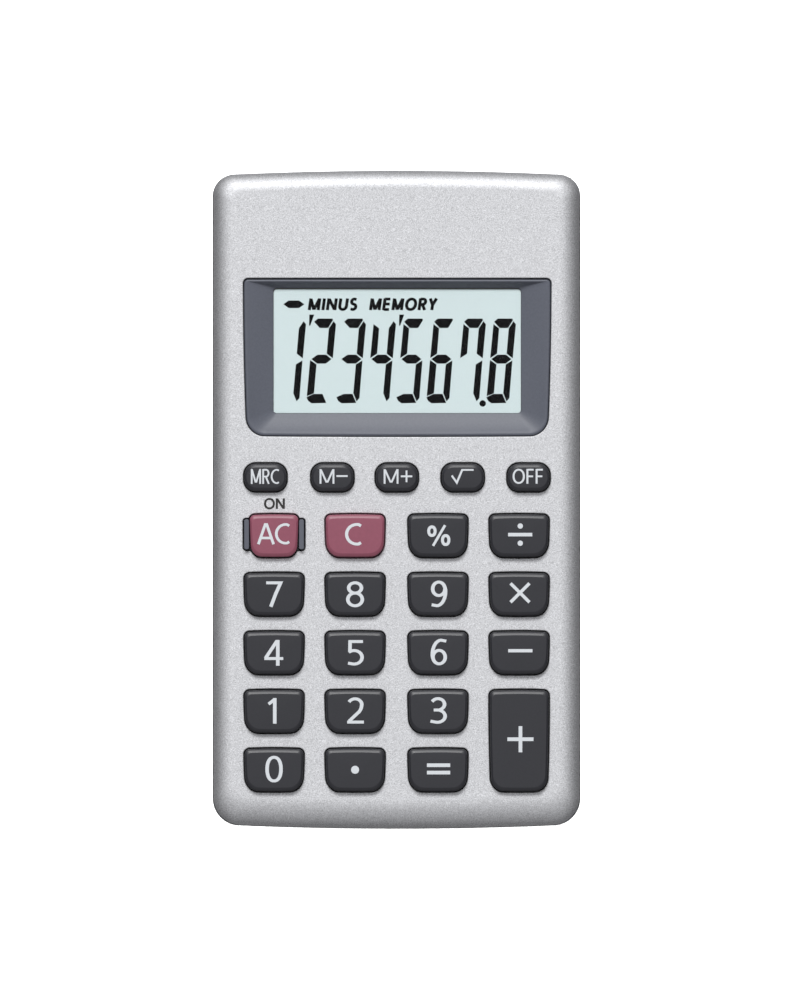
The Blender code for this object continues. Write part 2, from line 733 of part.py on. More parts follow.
def screw(name, x, y, head_z, head_radius, head_height, frame, material):
    """A pan-head screw pointing up into its boss, with a cross recess in the head."""
    profile = (
        (head_radius * 0.75, head_z - head_height),
        (head_radius, head_z - head_height * 0.6),
        (head_radius, head_z),
        (SHANK_RADIUS, head_z),
        (SHANK_RADIUS, SCREW_TIP - 0.6),
        (SHANK_RADIUS * 0.4, SCREW_TIP),
    )
    rings = [at_height(circle(0, 0, radius, 12), z) for radius, z in profile]
    made = solid(name, [rings], frame, material)
    made.location = (x * MM, y * MM, 0)
    arm, width, depth = head_radius * 0.6, head_radius * 0.14, head_height * 0.55
    z = (head_z - head_height - 1, head_z - head_height + depth)
    arms = [block((-arm, arm), (-width, width), z), block((-width, width), (-arm, arm), z)]
    for number, stack in enumerate(arms):
        tool = helper(f"{name}_recess_{number}", [stack], frame)
        tool.location = made.location
        cut(made, tool)


def screws(frame, material):
    for number, (x, y) in enumerate(CASE_SCREWS, 1):
        screw(f"case_screw_{number}", x, y, PART_LINE - 1.5, HEAD_RADIUS, 1.0, frame, material)
    for number, (x, y) in enumerate(board_screw_places(), 1):
        screw(f"board_screw_{number}", x, y, BOARD_BOTTOM - 0.1, 1.25, 0.8, frame, material)


def main():
    clear_scene()
    materials = make_materials()
    frame = tilted_frame()
    keys = key_table()
    front_case(frame, materials["silver_paint"])
    rear_case(frame, materials["charcoal_plastic"])
    battery_cover(materials["charcoal_plastic"])
    display(frame, materials)
    for name, x, y, width, height, outline, colour in keys:
        key(name, x, y, width, height, outline, frame, materials[colour])
    key_guard("key_guard_left", -1, frame, materials["grey_plastic"])
    key_guard("key_guard_right", 1, frame, materials["grey_plastic"])
    rubber_keypad(keys, frame, materials["keypad_rubber"])
    circuit_board(frame, materials)
    cell(frame, materials["cell_jacket"])
    contact_plate("positive_contact", 1, frame, materials["nickel"])
    spring = contact_plate("negative_contact", -1, frame, materials["nickel"])
    join(spring, spring_coil(frame))
    lead("positive_lead", 1, frame, materials["red_wire"])
    lead("negative_lead", -1, frame, materials["black_wire"])
    screws(frame, materials["screw_steel"])


main()
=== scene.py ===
"""The looks of a wedge-shaped pocket calculator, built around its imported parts.

Lengths are millimetres in the panel frame, as in the CAD: x runs across the front panel, y up it
and z out of it, with z = 0 on its outer face. PANEL turns that frame into the row frame.
"""

import json
import math

import bmesh
import bpy
from mathutils import Matrix, Vector
from mathutils.geometry import delaunay_2d_cdt


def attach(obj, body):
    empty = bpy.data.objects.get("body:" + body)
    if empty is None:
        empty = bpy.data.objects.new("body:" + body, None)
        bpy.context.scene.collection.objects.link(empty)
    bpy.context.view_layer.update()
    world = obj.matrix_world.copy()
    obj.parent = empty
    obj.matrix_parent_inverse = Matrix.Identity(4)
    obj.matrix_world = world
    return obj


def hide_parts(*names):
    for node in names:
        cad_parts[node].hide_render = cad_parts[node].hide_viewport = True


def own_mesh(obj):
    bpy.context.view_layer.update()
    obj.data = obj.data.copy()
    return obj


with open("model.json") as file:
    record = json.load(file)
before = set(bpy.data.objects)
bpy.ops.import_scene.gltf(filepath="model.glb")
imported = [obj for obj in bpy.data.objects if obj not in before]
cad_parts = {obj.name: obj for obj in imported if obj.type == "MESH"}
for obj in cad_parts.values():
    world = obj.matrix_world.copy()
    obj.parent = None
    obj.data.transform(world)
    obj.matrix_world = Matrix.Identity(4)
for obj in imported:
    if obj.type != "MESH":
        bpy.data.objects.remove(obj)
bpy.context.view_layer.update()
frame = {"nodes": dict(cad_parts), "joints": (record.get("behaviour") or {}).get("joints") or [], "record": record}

MM = 0.001

# Body, as in the CAD
WIDTH = 57.0
LENGTH = 102.0
DEPTH_TOP = 19.0
DEPTH_BOTTOM = 9.5
WALL = 1.5
PANEL_THICK = 1.6
BOW_TOP = 0.73
BOW_BOTTOM = 0.70
CORNER_TOP = 3.1
CORNER_BOTTOM = 4.0
BACK_EDGE = 1.8
FLOOR = 1.6
PART_LINE = -7.0
GAP = 0.2
END = LENGTH / 2
SLOPE = (DEPTH_TOP - DEPTH_BOTTOM) / LENGTH
DEPTH_MIDDLE = (DEPTH_TOP + DEPTH_BOTTOM) / 2

# The front's rounded edge reaches this far in from each side and this far down. SEAM is the bevel at
# the parting line, RIM the step in from the rear half, and MARGIN the flat strip beside a rounded edge.
EDGE_SIDE = 3.3
EDGE_TOP = 2.6
EDGE_BOTTOM = 4.45
EDGE_DROP = 2.6
CORNER_TIGHTENS_TOP = 1.6
CORNER_TIGHTENS_BOTTOM = 1.8
SEAM = 0.2
RIM = 0.17
APERTURE_EDGE = 0.12
MARGIN = 0.06

# Keys. KEY_EDGE is (inset, drop) from the rim of a key's wall to the edge of its top.
KEY_RISE = 1.3
KEY_GAP = 0.2
KEY_EDGE = ((0, 0.50), (0, 0.38), (0.03, 0.29), (0.10, 0.22), (0.28, 0.13), (0.46, 0.05), (0.56, 0.0))
KEY_EDGE_SIDE = 0.55
KEY_CROWN = 0.06
CROWN_STEPS = (0.985, 0.9, 0.75, 0.5, 0.25, 0.08)
FLANGE_REACH = 0.5
FLANGE_TOP = -PANEL_THICK - GAP
FLANGE_BOTTOM = -2.7
MAIN_WIDTH = 9.5
MAIN_HEIGHT = 7.0
MAIN_COLUMNS = (-18.95, -6.41, 6.42, 18.98)
ROW_ONE = -5.54
ROW_PITCH = 9.064
SMALL_WIDTH = 6.87
SMALL_HEIGHT = 4.65
SMALL_COLUMNS = (-20.29, -9.92, 0.05, 10.25, 20.44)
SMALL_ROW = 3.48
LEGEND_RAISE = 0.15
GUARDED_WIDTH = 7.9
GUARDED_FLANGE = 0.2
GUARD_WIDTH = 0.78
GUARD_HEIGHT = 4.65
GUARD_OFFSET = 4.25
GUARD_LIFT = 0.2
GUARD_FOOT = -3.0
GUARD_RISE = 0.95
GUARD_EDGE = 0.12

# Rear half. LIP is the (inset, height) section of the ridge that locates the front half.
LIP = ((1.2, -8.8), (2.3, -8.0), (2.3, -6.0), (1.65, -6.0), (1.65, -7.2), (1.2, -7.2))
RIB_ROWS = (21.0, 3.0, -15.0, -33.0)
RIB_THICK = 1.0
RIB_TOP = -8.0
CASE_SCREWS = ((24.9, -46.6), (-24.9, -46.6), (25.5, 30.0), (-25.5, 30.0))
POST_RADIUS = 2.2
PILOT_RADIUS = 0.85
WELL_RADIUS = 1.6
WELL_TOP = PART_LINE - 1.3
BOSS_SEAT_RADIUS = 1.75
BAY_WALL = (32.5, 33.5)
BAY_HEIGHTS = (-14.0, -5.0)
NOTCHES = (22.2, -22.2)
NOTCH_HALF = 1.7

# Battery cover. Its heights and rows are from the case's flat back, in the row frame.
COVER_HALF = 21.5
COVER_START = 33.2
COVER_HEIGHTS = (0.1, 1.5)
RAIL_WIDTH = 0.8
RAIL_HEIGHTS = (0.75, 1.3)
RAIL_ROWS = (COVER_START + 2, 48)
RAIL_GROOVE = (0.6, 1.45)
GRIP_ROWS = (41.4, 43.0, 44.6, 46.2)
GRIP_RADIUS = 0.42
GRIP_HALF = 7
ARROW = ((-2.4, 35.9), (2.4, 35.9), (0.0, 39.2))
ARROW_SUNK = 0.4
PAST_END = 60

# Cell, its contact and the case screws. CELL_CAN is (distance along the axis, radius) and SCREW_HEAD
# is (inset, drop).
CELL_Y = 41.1
CELL_Z = -9.1
CELL_CAN = (
    (-23.6, 5.2), (-23.6, 6.5), (-23.35, 6.95), (-23.0, 6.85), (-22.9, 7.0), (24.7, 7.0),
    (24.8, 6.85), (25.2, 6.9), (25.4, 6.6), (25.4, 2.75), (26.2, 2.75), (26.4, 2.45),
)
CELL_SLEEVES = (("cell_sleeve", -22.8, 12.0, "cell_jacket"), ("cell_band", 12.0, 24.6, "band"))
SLEEVE_RADIUS = 7.15
SLEEVE_BORE = 6.9
COIL_ENDS = (-26.6, -23.98)
COIL_RADII = (3.6, 2.1)
COIL_TURNS = 3.25
COIL_WIRE = 0.33
SCREW_SEAT = PART_LINE - 1.5
SCREW_TIP = -5.2
SCREW_SHANK = 0.62
SCREW_HEAD = ((0, 0.0), (0, 0.45), (0.08, 0.65), (0.3, 0.86), (0.65, 0.97), (1.1, 1.0))
SCREW_HEAD_RADIUS = 1.3
SCREW_CROSS = (0.78, 0.18)

# Rubber keypad. DOME is (share of the radius, rise) up one dome.
SHEET_TOP = -4.4
SHEET_BOTTOM = -5.3
DOME = ((1.0, 0.0), (0.97, 0.12), (0.78, 1.15), (0.70, 1.42), (0.62, 1.5))

# Display
BEZEL_WIDTH = 47.75
BEZEL_UPPER = 34.35
BEZEL_LOWER = 9.85
BEZEL_TAPER = 0.52
BEZEL_CORNER_TOP = 0.8
BEZEL_CORNER_BOTTOM = 2.9
WINDOW_WIDTH = 38.4
WINDOW_UPPER = 32.8
WINDOW_LOWER = 13.4
WINDOW_CORNER = 0.6
BEZEL_FLANGE = 0.9
BEZEL_GAP = 0.12
BEZEL_TOP = -0.35
BEZEL_LIP = 0.35
BEZEL_DEPTH = 1.62
BEZEL_BEND = 0.3
BEZEL_BACK = -2.3
RECESS = (41.0, 33.9, 12.1)
RECESS_TOP = -1.68
# The top of the black band of painted shade that lies on the pane.
SHADE_BAND_TOP = -1.69
PANE_TOP = -1.70
PANE_BOTTOM = -1.80
FILM_TOP = -1.84
FILM_BOTTOM = -2.25
DISPLAY_X = 0.11
DIGIT_PITCH = 4.644
LAST_DIGIT = (16.22, 21.58)
WORD_ROW = 30.30
INK = 0.02

# Light and camera. WORLD_STEPS is (height from straight down to straight up, level).
SIDE_LEVEL = 0.25
WORLD_STEPS = ((0.0, 0.40), (0.42, 0.18), (0.58, 0.18), (1.0, 0.75))
FLOOR_REACH = 3000.0
FLOOR_DROP = 0.03
LENS = 900.0
SENSOR = 36.0
VIEW_HEIGHT = 154.8
VIEW_MIDDLE = (-0.155, -0.015, 0.0)

# The panel frame, from the direction in which the keys travel
press = Vector(next(j["axis"] for j in frame["joints"] if j["name"] == "key_5_press"))
normal = -press.normalized()
across = Vector((1.0, 0.0, 0.0))
upwards = normal.cross(across)
PANEL = Matrix((across, upwards, normal)).transposed().to_4x4()
PANEL.translation = normal * DEPTH_MIDDLE * MM


# -------- outlines


def arc(x, y, wide, tall, start, end, steps=16):
    """Points along an ellipse, from one angle to another in degrees."""
    angles = [math.radians(start + (end - start) * n / steps) for n in range(steps + 1)]
    return [(x + wide * math.cos(angle), y + tall * math.sin(angle)) for angle in angles]


def oval(x, y, wide, tall, power=2.0, steps=40):
    """A closed path round an ellipse, squarer where the power is above 2."""
    path = []
    for n in range(steps + 1):
        turn = 2 * math.pi * n / steps
        c, s = math.cos(turn), math.sin(turn)
        reach = (abs(c) ** power + abs(s) ** power) ** (-1 / power)
        path.append((x + wide * c * reach, y + tall * s * reach))
    return path


def circle(x, y, radius, sides=32):
    return arc(x, y, radius, radius, 0, 360, sides)[:-1]


def turns(sides):
    """The angles of the corners of a ring, in radians."""
    return [2 * math.pi * n / sides for n in range(sides)]


def quarter(steps):
    """(share drawn in, share risen) along a quarter circle, from a wall to the face above it."""
    angles = [math.pi / 2 * n / steps for n in range(steps + 1)]
    return [(1 - math.cos(angle), math.sin(angle)) for angle in angles]


def rectangle(width, upper, lower, corner_upper, corner_lower, steps=8, edges=1, sides=1):
    """Anticlockwise points of a rectangle with rounded corners, with extra points along its edges."""
    half = width / 2
    corners = (
        (half - corner_lower, lower + corner_lower, corner_lower, -90),
        (half - corner_upper, upper - corner_upper, corner_upper, 0),
        (corner_upper - half, upper - corner_upper, corner_upper, 90),
        (corner_lower - half, lower + corner_lower, corner_lower, 180),
    )
    arcs = [arc(x, y, radius, radius, turn, turn + 90, steps) for x, y, radius, turn in corners]
    points = []
    for number, bend in enumerate(arcs):
        points += bend
        first, last = Vector(bend[-1]), Vector(arcs[(number + 1) % 4][0])
        count = edges if number in (1, 3) else sides
        points += [tuple(first.lerp(last, n / count)) for n in range(1, count)]
    return points


def bowed(points, width, upper, lower, bow_upper, bow_lower, taper=0.0):
    """The same points with both ends bowed outwards and the sides drawn in towards the lower end."""
    half, middle = width / 2, (upper + lower) / 2
    moved = []
    for x, y in points:
        arch = 1 - (x / half) ** 2
        drawn = x * (1 - taper / half * ((upper - y) / (upper - lower)) ** 2)
        moved.append((drawn, y + (bow_upper if y > middle else -bow_lower) * arch))
    return moved


def offset(points, distance):
    """A closed anticlockwise outline moved outwards by a small distance."""
    moved = []
    for n, (x, y, *_) in enumerate(points):
        before, after = points[n - 1], points[(n + 1) % len(points)]
        first = Vector((y - before[1], before[0] - x)).normalized()
        second = Vector((after[1] - y, x - after[0])).normalized()
        step = (first + second) * distance / (1 + first.dot(second))
        moved.append((x + step.x, y + step.y))
    return moved


def shifted(points, x, y):
    return [(a + x, b + y) for a, b in points]


def at_height(points, z):
    return [(x, y, z) for x, y in points]


def placed(rings, x, y):
    return [[(a + x, b + y, c) for a, b, c in ring] for ring in rings]


def grounded(rings):
    """Rings given in the row frame, in which the case lies on its back, turned into the panel frame."""
    back = PANEL.inverted()
    return [[tuple(back @ (Vector(point) * MM) / MM) for point in ring] for ring in rings]


def round_over(points, inset, low, high, steps=5):
    """Rings that turn a wall at an outline into a face above it, drawn in by inset at the top."""
    return [
        at_height(offset(points, -inset * drawn), low + (high - low) * risen)
        for drawn, risen in quarter(steps)
    ]


def case_outline(inset=0.0):
    width = WIDTH - 2 * inset
    top, bottom = END - BOW_TOP - inset, BOW_BOTTOM - END + inset
    radius_top, radius_bottom = max(CORNER_TOP - inset, 0.6), max(CORNER_BOTTOM - inset, 0.9)
    points = rectangle(width, top, bottom, radius_top, radius_bottom, 14, 36)
    return bowed(points, width, top, bottom, BOW_TOP, BOW_BOTTOM)


def main_key_outline(width, height, grow=0.0):
    """A main key: a shield with small upper corners, large lower ones and bowed ends."""
    wide, tall, bow = width + 2 * grow, height / 2 + grow, 0.12
    lower = 2.1 * width / MAIN_WIDTH + grow
    points = rectangle(wide, tall - bow, bow - tall, 0.95 + grow, lower, 10, 10, 6)
    return bowed(points, wide, tall - bow, bow - tall, bow, bow, taper=0.28)


def small_key_outline(width, height, grow=0.0):
    """A function key: a pill with flattened ends."""
    wide, tall = width + 2 * grow, height / 2 + grow
    corner = min(1.95 + grow, tall - 0.1)
    return rectangle(wide, tall, -tall, corner, corner, 14, 6, 3)


def bezel_outline(inset=0.0):
    width, upper, lower = BEZEL_WIDTH - 2 * inset, BEZEL_UPPER - inset, BEZEL_LOWER + inset
    corner_top, corner_bottom = max(BEZEL_CORNER_TOP - inset, 0.3), BEZEL_CORNER_BOTTOM - inset
    points = rectangle(width, upper, lower, corner_top, corner_bottom, 12, 12, 12)
    return shifted(bowed(points, width, upper, lower, 0, 0.1, BEZEL_TAPER), DISPLAY_X, 0)


def window_outline(grow=0.0):
    corner = WINDOW_CORNER + grow
    upper, lower = WINDOW_UPPER + grow, WINDOW_LOWER - grow
    points = rectangle(WINDOW_WIDTH + 2 * grow, upper, lower, corner, corner, 12, 12, 12)
    return shifted(points, DISPLAY_X, 0)


def sheet_outline(inset, corner, steps=6, edges=1):
    """A sheet in the recess behind the bezel."""
    width, upper, lower = RECESS
    return rectangle(width - 2 * inset, upper - inset, lower + inset, corner, corner, steps, edges, edges)


# -------- meshes


class Body:
    """A mesh put together from rings of points, bands between them and flat regions."""

    def __init__(self):
        self.shape = bmesh.new()

    def ring(self, points):
        return [self.shape.verts.new(Vector(point) * MM) for point in points]

    def band(self, near, far):
        for a in range(len(near)):
            b = (a + 1) % len(near)
            self.shape.faces.new((near[a], near[b], far[b], far[a]))

    def bands(self, rings):
        made = [self.ring(points) for points in rings]
        for near, far in zip(made, made[1:]):
            self.band(near, far)
        return made

    def region(self, outer, holes=()):
        """Fills the flat space inside one ring and outside the others."""
        rings = [outer, *holes]
        verts = [vert for ring in rings for vert in ring]
        faces, start = [], 0
        for ring in rings:
            faces.append(list(range(start, start + len(ring))))
            start += len(ring)
        flat = [vert.co.to_2d() / MM for vert in verts]
        _, _, triangles, origins, _, sources = delaunay_2d_cdt(flat, [], faces, 0, 1e-6, True)
        for triangle, source in zip(triangles, sources):
            if list(source) == [0]:
                self.shape.faces.new([verts[origins[n][0]] for n in triangle])

    def stack(self, rings):
        """A closed body from a stack of rings, capped at both ends."""
        made = self.bands(rings)
        self.shape.faces.new(made[0])
        self.shape.faces.new(made[-1])
        return self

    def loop(self, rings):
        """A closed body from rings that come back round to the first."""
        made = self.bands(rings)
        self.band(made[-1], made[0])
        return self

    def relief(self, polygons, low, high):
        """The union of flat polygons as a slab between two heights."""
        points, faces = [], []
        for polygon in polygons:
            area = sum(a[0] * b[1] - b[0] * a[1] for a, b in zip(polygon, polygon[1:] + polygon[:1]))
            if abs(area) < 1e-6:
                continue
            wound = polygon if area > 0 else polygon[::-1]
            faces.append(list(range(len(points), len(points) + len(wound))))
            points += [Vector(point) for point in wound]
        flat, _, triangles, _, _, sources = delaunay_2d_cdt(points, [], faces, 0, 1e-5, True)
        upper, lower, border = {}, {}, set()
        for triangle, source in zip(triangles, sources):
            if not source:
                continue
            for n, index in enumerate(triangle):
                if index not in upper:
                    x, y = flat[index]
                    upper[index] = self.shape.verts.new(Vector((x, y, high)) * MM)
                    lower[index] = self.shape.verts.new(Vector((x, y, low)) * MM)
                border ^= {(min(index, triangle[n - 1]), max(index, triangle[n - 1]))}
            self.shape.faces.new([upper[index] for index in triangle])
            self.shape.faces.new([lower[index] for index in reversed(triangle)])
        for a, b in border:
            self.shape.faces.new((upper[b], upper[a], lower[a], lower[b]))
        return self

    def mesh(self, name):
        bmesh.ops.recalc_face_normals(self.shape, faces=self.shape.faces)
        mesh = bpy.data.meshes.new(name)
        self.shape.to_mesh(mesh)
        self.shape.free()
        return mesh


def prism(points, low, high):
    return Body().stack([at_height(points, low), at_height(points, high)])


def ribbon(path, stem, bar):
    """Triangles along a path, stem wide where it runs upright and bar wide where it runs across."""
    closed = (Vector(path[0]) - Vector(path[-1])).length < 1e-6
    points = [Vector(point) for point in (path[:-1] if closed else path)]
    count = len(points)
    runs = []
    for n in range(count if closed else count - 1):
        along = (points[(n + 1) % count] - points[n]).normalized()
        side = Vector((-along.y, along.x))
        runs.append((side, (stem * side.x**2 + bar * side.y**2) / 2))
    reaches = []
    for n in range(count):
        first = runs[n - 1] if closed or n else runs[0]
        second = runs[n] if n < len(runs) else runs[-1]
        cosine = first[0].dot(second[0])
        if cosine > 0.998:
            reaches.append((first[0] + second[0]).normalized() * (first[1] + second[1]) / 2)
            continue
        a = (first[1] - cosine * second[1]) / (1 - cosine**2)
        b = (second[1] - cosine * first[1]) / (1 - cosine**2)
        reaches.append(a * first[0] + b * second[0])
    triangles = []
    for n in range(len(runs)):
        m = (n + 1) % count
        left = (points[n] + reaches[n]).to_tuple(), (points[m] + reaches[m]).to_tuple()
        right = (points[n] - reaches[n]).to_tuple(), (points[m] - reaches[m]).to_tuple()
        triangles += [[right[0], right[1], left[1]], [right[0], left[1], left[0]]]
    return triangles


def new_object(name, data):
    made = bpy.data.objects.new(name, data)
    bpy.context.scene.collection.objects.link(made)
    return made


def piece(name, body, rides_on, surface, replaces=(), sharp=30):
    """A finished piece of the object, placed, shaded and tied to its CAD body."""
    mesh = body.mesh(name) if isinstance(body, Body) else body
    mesh.transform(PANEL)
    obj = new_object(name, mesh)
    mesh.materials.clear()
    mesh.materials.append(looks[surface])
    mesh.shade_smooth()
    mesh.set_sharp_from_angle(angle=math.radians(sharp))
    weigh = obj.modifiers.new("flat faces first", "WEIGHTED_NORMAL")
    weigh.keep_sharp = True
    weigh.weight = 80
    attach(obj, rides_on)
    if replaces:
        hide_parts(*replaces)
    return obj


def carved(start, steps):
    """The mesh of start after a list of ("DIFFERENCE" | "UNION" | "INTERSECT", Body) steps."""
    base = new_object("base", start.mesh("base"))
    tools = []
    for operation, tool in steps:
        other = new_object("tool", tool.mesh("tool"))
        boolean = base.modifiers.new("step", "BOOLEAN")
        boolean.operation = operation
        boolean.object = other
        boolean.solver = "EXACT"
        tools.append(other)
    bpy.context.view_layer.update()
    graph = bpy.context.evaluated_depsgraph_get()
    mesh = bpy.data.meshes.new_from_object(base.evaluated_get(graph))
    for obj in (base, *tools):
        bpy.data.objects.remove(obj)
    return mesh


# -------- materials


def set_sockets(node, sockets):
    """Sets a node's inputs by name, with an underscore for each space."""
    for name, value in sockets.items():
        node.inputs[name.replace("_", " ")].default_value = value


def add_node(tree, kind, operation=None, **sockets):
    made = tree.nodes.new("ShaderNode" + kind)
    if operation:
        made.operation = operation
    set_sockets(made, sockets)
    return made


# The materials made here, by name. In bpy.data the CAD's own materials have most of these names.
looks = {}


def new_material(name, **sockets):
    """A material, its node tree and its shader."""
    made = looks[name] = bpy.data.materials.new(name)
    made.use_nodes = True
    shader = made.node_tree.nodes["Principled BSDF"]
    set_sockets(shader, sockets)
    return made, made.node_tree, shader


def material(name, colour, roughness, metallic, mottle, bump=None, specular=0.5):
    """A moulded, painted or metal surface. Each mottle is (size in mm, strength) of an uneven colour,
    and the bump is (size in mm, height in mm) of an uneven surface."""
    _, tree, shader = new_material(
        name, Roughness=roughness, Metallic=metallic, Specular_IOR_Level=specular
    )
    link = tree.links.new
    place = add_node(tree, "TexCoord").outputs["Object"]

    def noise(size, detail=2.0):
        texture = add_node(tree, "TexNoise", Scale=1 / (size * MM), Detail=detail)
        link(place, texture.inputs["Vector"])
        return texture.outputs["Fac"]

    shade = None
    for size, strength in mottle:
        spread = add_node(
            tree, "MapRange", From_Min=0.25, From_Max=0.75, To_Min=1 - strength, To_Max=1 + strength
        )
        link(noise(size), spread.inputs["Value"])
        if shade is None:
            shade = spread.outputs["Result"]
            continue
        product = add_node(tree, "Math", "MULTIPLY")
        link(shade, product.inputs[0])
        link(spread.outputs["Result"], product.inputs[1])
        shade = product.outputs["Value"]
    tint = add_node(tree, "VectorMath", "SCALE")
    tint.inputs[0].default_value = colour
    link(shade, tint.inputs["Scale"])
    link(tint.outputs["Vector"], shader.inputs["Base Color"])

    if bump:
        size, height = bump
        relief = add_node(tree, "Bump", Distance=height * MM, Strength=1.0)
        link(noise(size, 3.0), relief.inputs["Height"])
        link(relief.outputs["Normal"], shader.inputs["Normal"])


def glass(name, colour, roughness, ior):
    """Clear material that lets lamps shine through to what is behind it."""
    _, tree, shader = new_material(
        name, Base_Color=(*colour, 1.0), Roughness=roughness, IOR=ior, Transmission_Weight=1.0
    )
    link = tree.links.new
    clear, mix = add_node(tree, "BsdfTransparent"), add_node(tree, "MixShader")
    path, either = add_node(tree, "LightPath"), add_node(tree, "Math", "MAXIMUM")
    link(path.outputs["Is Shadow Ray"], either.inputs[0])
    link(path.outputs["Is Diffuse Ray"], either.inputs[1])
    link(either.outputs["Value"], mix.inputs["Fac"])
    link(shader.outputs["BSDF"], mix.inputs[1])
    link(clear.outputs["BSDF"], mix.inputs[2])
    link(mix.outputs["Shader"], tree.nodes["Material Output"].inputs["Surface"])


FINE = (0.25, 0.002)
SATIN = (0.3, 0.002)
MATTE = (0.25, 0.004)

# Each surface is its colour, roughness, metallic value, mottle, bump and specular level.
SURFACES = {
    "silver_paint": ((0.65, 0.655, 0.67), 0.66, 1.0, ((0.15, 0.31), (0.5, 0.04)), SATIN),
    "charcoal_plastic": ((0.050, 0.052, 0.058), 0.55, 0.0, ((0.8, 0.08),), (0.35, 0.02)),
    "grey_plastic": ((0.107, 0.115, 0.141), 0.42, 0.0, ((0.3, 0.06),), FINE, 0.31),
    "key_plastic": ((0.0283, 0.0288, 0.0342), 0.34, 0.0, ((0.3, 0.05),), SATIN, 0.36),
    "red_key_plastic": ((0.268, 0.080, 0.118), 0.34, 0.0, ((0.6, 0.04),), SATIN, 0.36),
    "display_film": ((0.60, 0.70, 0.705), 0.7, 0.0, ((2.0, 0.01),)),
    "reflector_foil": ((0.62, 0.64, 0.62), 0.35, 0.6, ((0.5, 0.05),)),
    "white_plastic": ((0.78, 0.78, 0.76), 0.5, 0.0, ((1.5, 0.03),), MATTE),
    "conductive_rubber": ((0.03, 0.03, 0.03), 0.7, 0.0, ((0.3, 0.3),)),
    "keypad_rubber": ((0.42, 0.44, 0.46), 0.65, 0.0, ((1.0, 0.05),), MATTE),
    "board_laminate": ((0.035, 0.16, 0.075), 0.45, 0.0, ((0.6, 0.12),), MATTE),
    "epoxy": ((0.015, 0.015, 0.017), 0.3, 0.0, ((0.8, 0.2),), (1.5, 0.03)),
    "can_metal": ((0.55, 0.56, 0.58), 0.3, 0.9, ((0.6, 0.06),)),
    "cell_jacket": ((0.10, 0.13, 0.22), 0.35, 0.2, ((1.0, 0.04),)),
    "band": ((0.62, 0.40, 0.16), 0.35, 0.6, ((1.0, 0.04),)),
    "nickel": ((0.62, 0.60, 0.56), 0.28, 1.0, ((0.5, 0.06),)),
    "screw_steel": ((0.32, 0.32, 0.33), 0.35, 1.0, ((0.3, 0.1),)),
    "red_wire": ((0.45, 0.03, 0.03), 0.5, 0.0, ((0.8, 0.05),)),
    "black_wire": ((0.02, 0.02, 0.02), 0.5, 0.0, ((0.8, 0.1),)),
    "white_ink": ((0.64, 0.67, 0.70), 0.5, 0.0, ((0.3, 0.02),)),
    # black_ink prints the ON label, and it also colours the band of painted shade round the display window.
    "black_ink": ((0.012, 0.011, 0.010), 0.6, 0.0, ((0.3, 0.1),)),
    "segment_black": ((0.003, 0.003, 0.0035), 0.7, 0.0, ((0.3, 0.1),), None, 0.05),
}


def make_materials():
    for name, surface in SURFACES.items():
        material(name, *surface)
    glass("clear_plastic", (0.98, 0.99, 0.99), 0.02, 1.12)
    glass("glass", (0.95, 0.99, 0.97), 0.02, 1.5)


# -------- lettering

# Each figure is a list of paths through the middle of its strokes, in mm about its key's middle.
NINE = [
    oval(0.13, 0.60, 0.95, 1.04),
    arc(0.13, 0.20, 1.04, 1.44, 90, 0) + arc(-0.20, 0.20, 1.37, 2.22, 0, -90)[1:] + [(-0.98, -1.87)],
]
FIGURES = {
    "0": [oval(0.0, -0.115, 1.07, 1.83, 2.25)],
    "1": [[(0.11, 1.82), (0.11, -2.14)], [(-0.84, 0.88), (0.10, 1.62)]],
    "2": [
        arc(0.0, 0.84, 1.03, 0.86, 155, 0) + arc(-0.35, 0.84, 1.38, 1.6, 0, -50)[1:] + [(-0.95, -1.78)],
        [(-1.22, -1.90), (1.36, -1.90)],
    ],
    "3": [
        arc(0.0, 0.86, 1.02, 0.87, 152, -75),
        [(-0.66, -0.03), (0.30, -0.03)],
        arc(-0.10, -0.98, 1.21, 0.95, 75, -100) + [(-1.16, -1.76)],
    ],
    "4": [
        [(0.58, 1.75), (0.58, -2.24)],
        [(-1.50, -1.13), (1.42, -1.13)],
        [(0.46, 1.60), (-1.32, -1.08)],
    ],
    "5": [
        [(-1.02, 1.50), (1.22, 1.50)],
        [(-0.77, 1.60), (-0.80, -0.16)],
        arc(-0.15, -0.94, 1.24, 1.05, 130, -95) + [(-1.09, -1.84)],
    ],
    "6": [[(0.30 - x, -0.31 - y) for x, y in path] for path in NINE],
    "7": [[(-1.21, 1.52), (1.02, 1.52), (0.25, -0.20), (-0.50, -2.18)]],
    "8": [oval(0.0, 0.735, 0.985, 0.795), oval(0.0, -1.045, 1.12, 0.985)],
    "9": NINE,
}
FIGURE_RAISE = 0.10
FIGURE_STEM = 0.55
FIGURE_BAR = 0.45

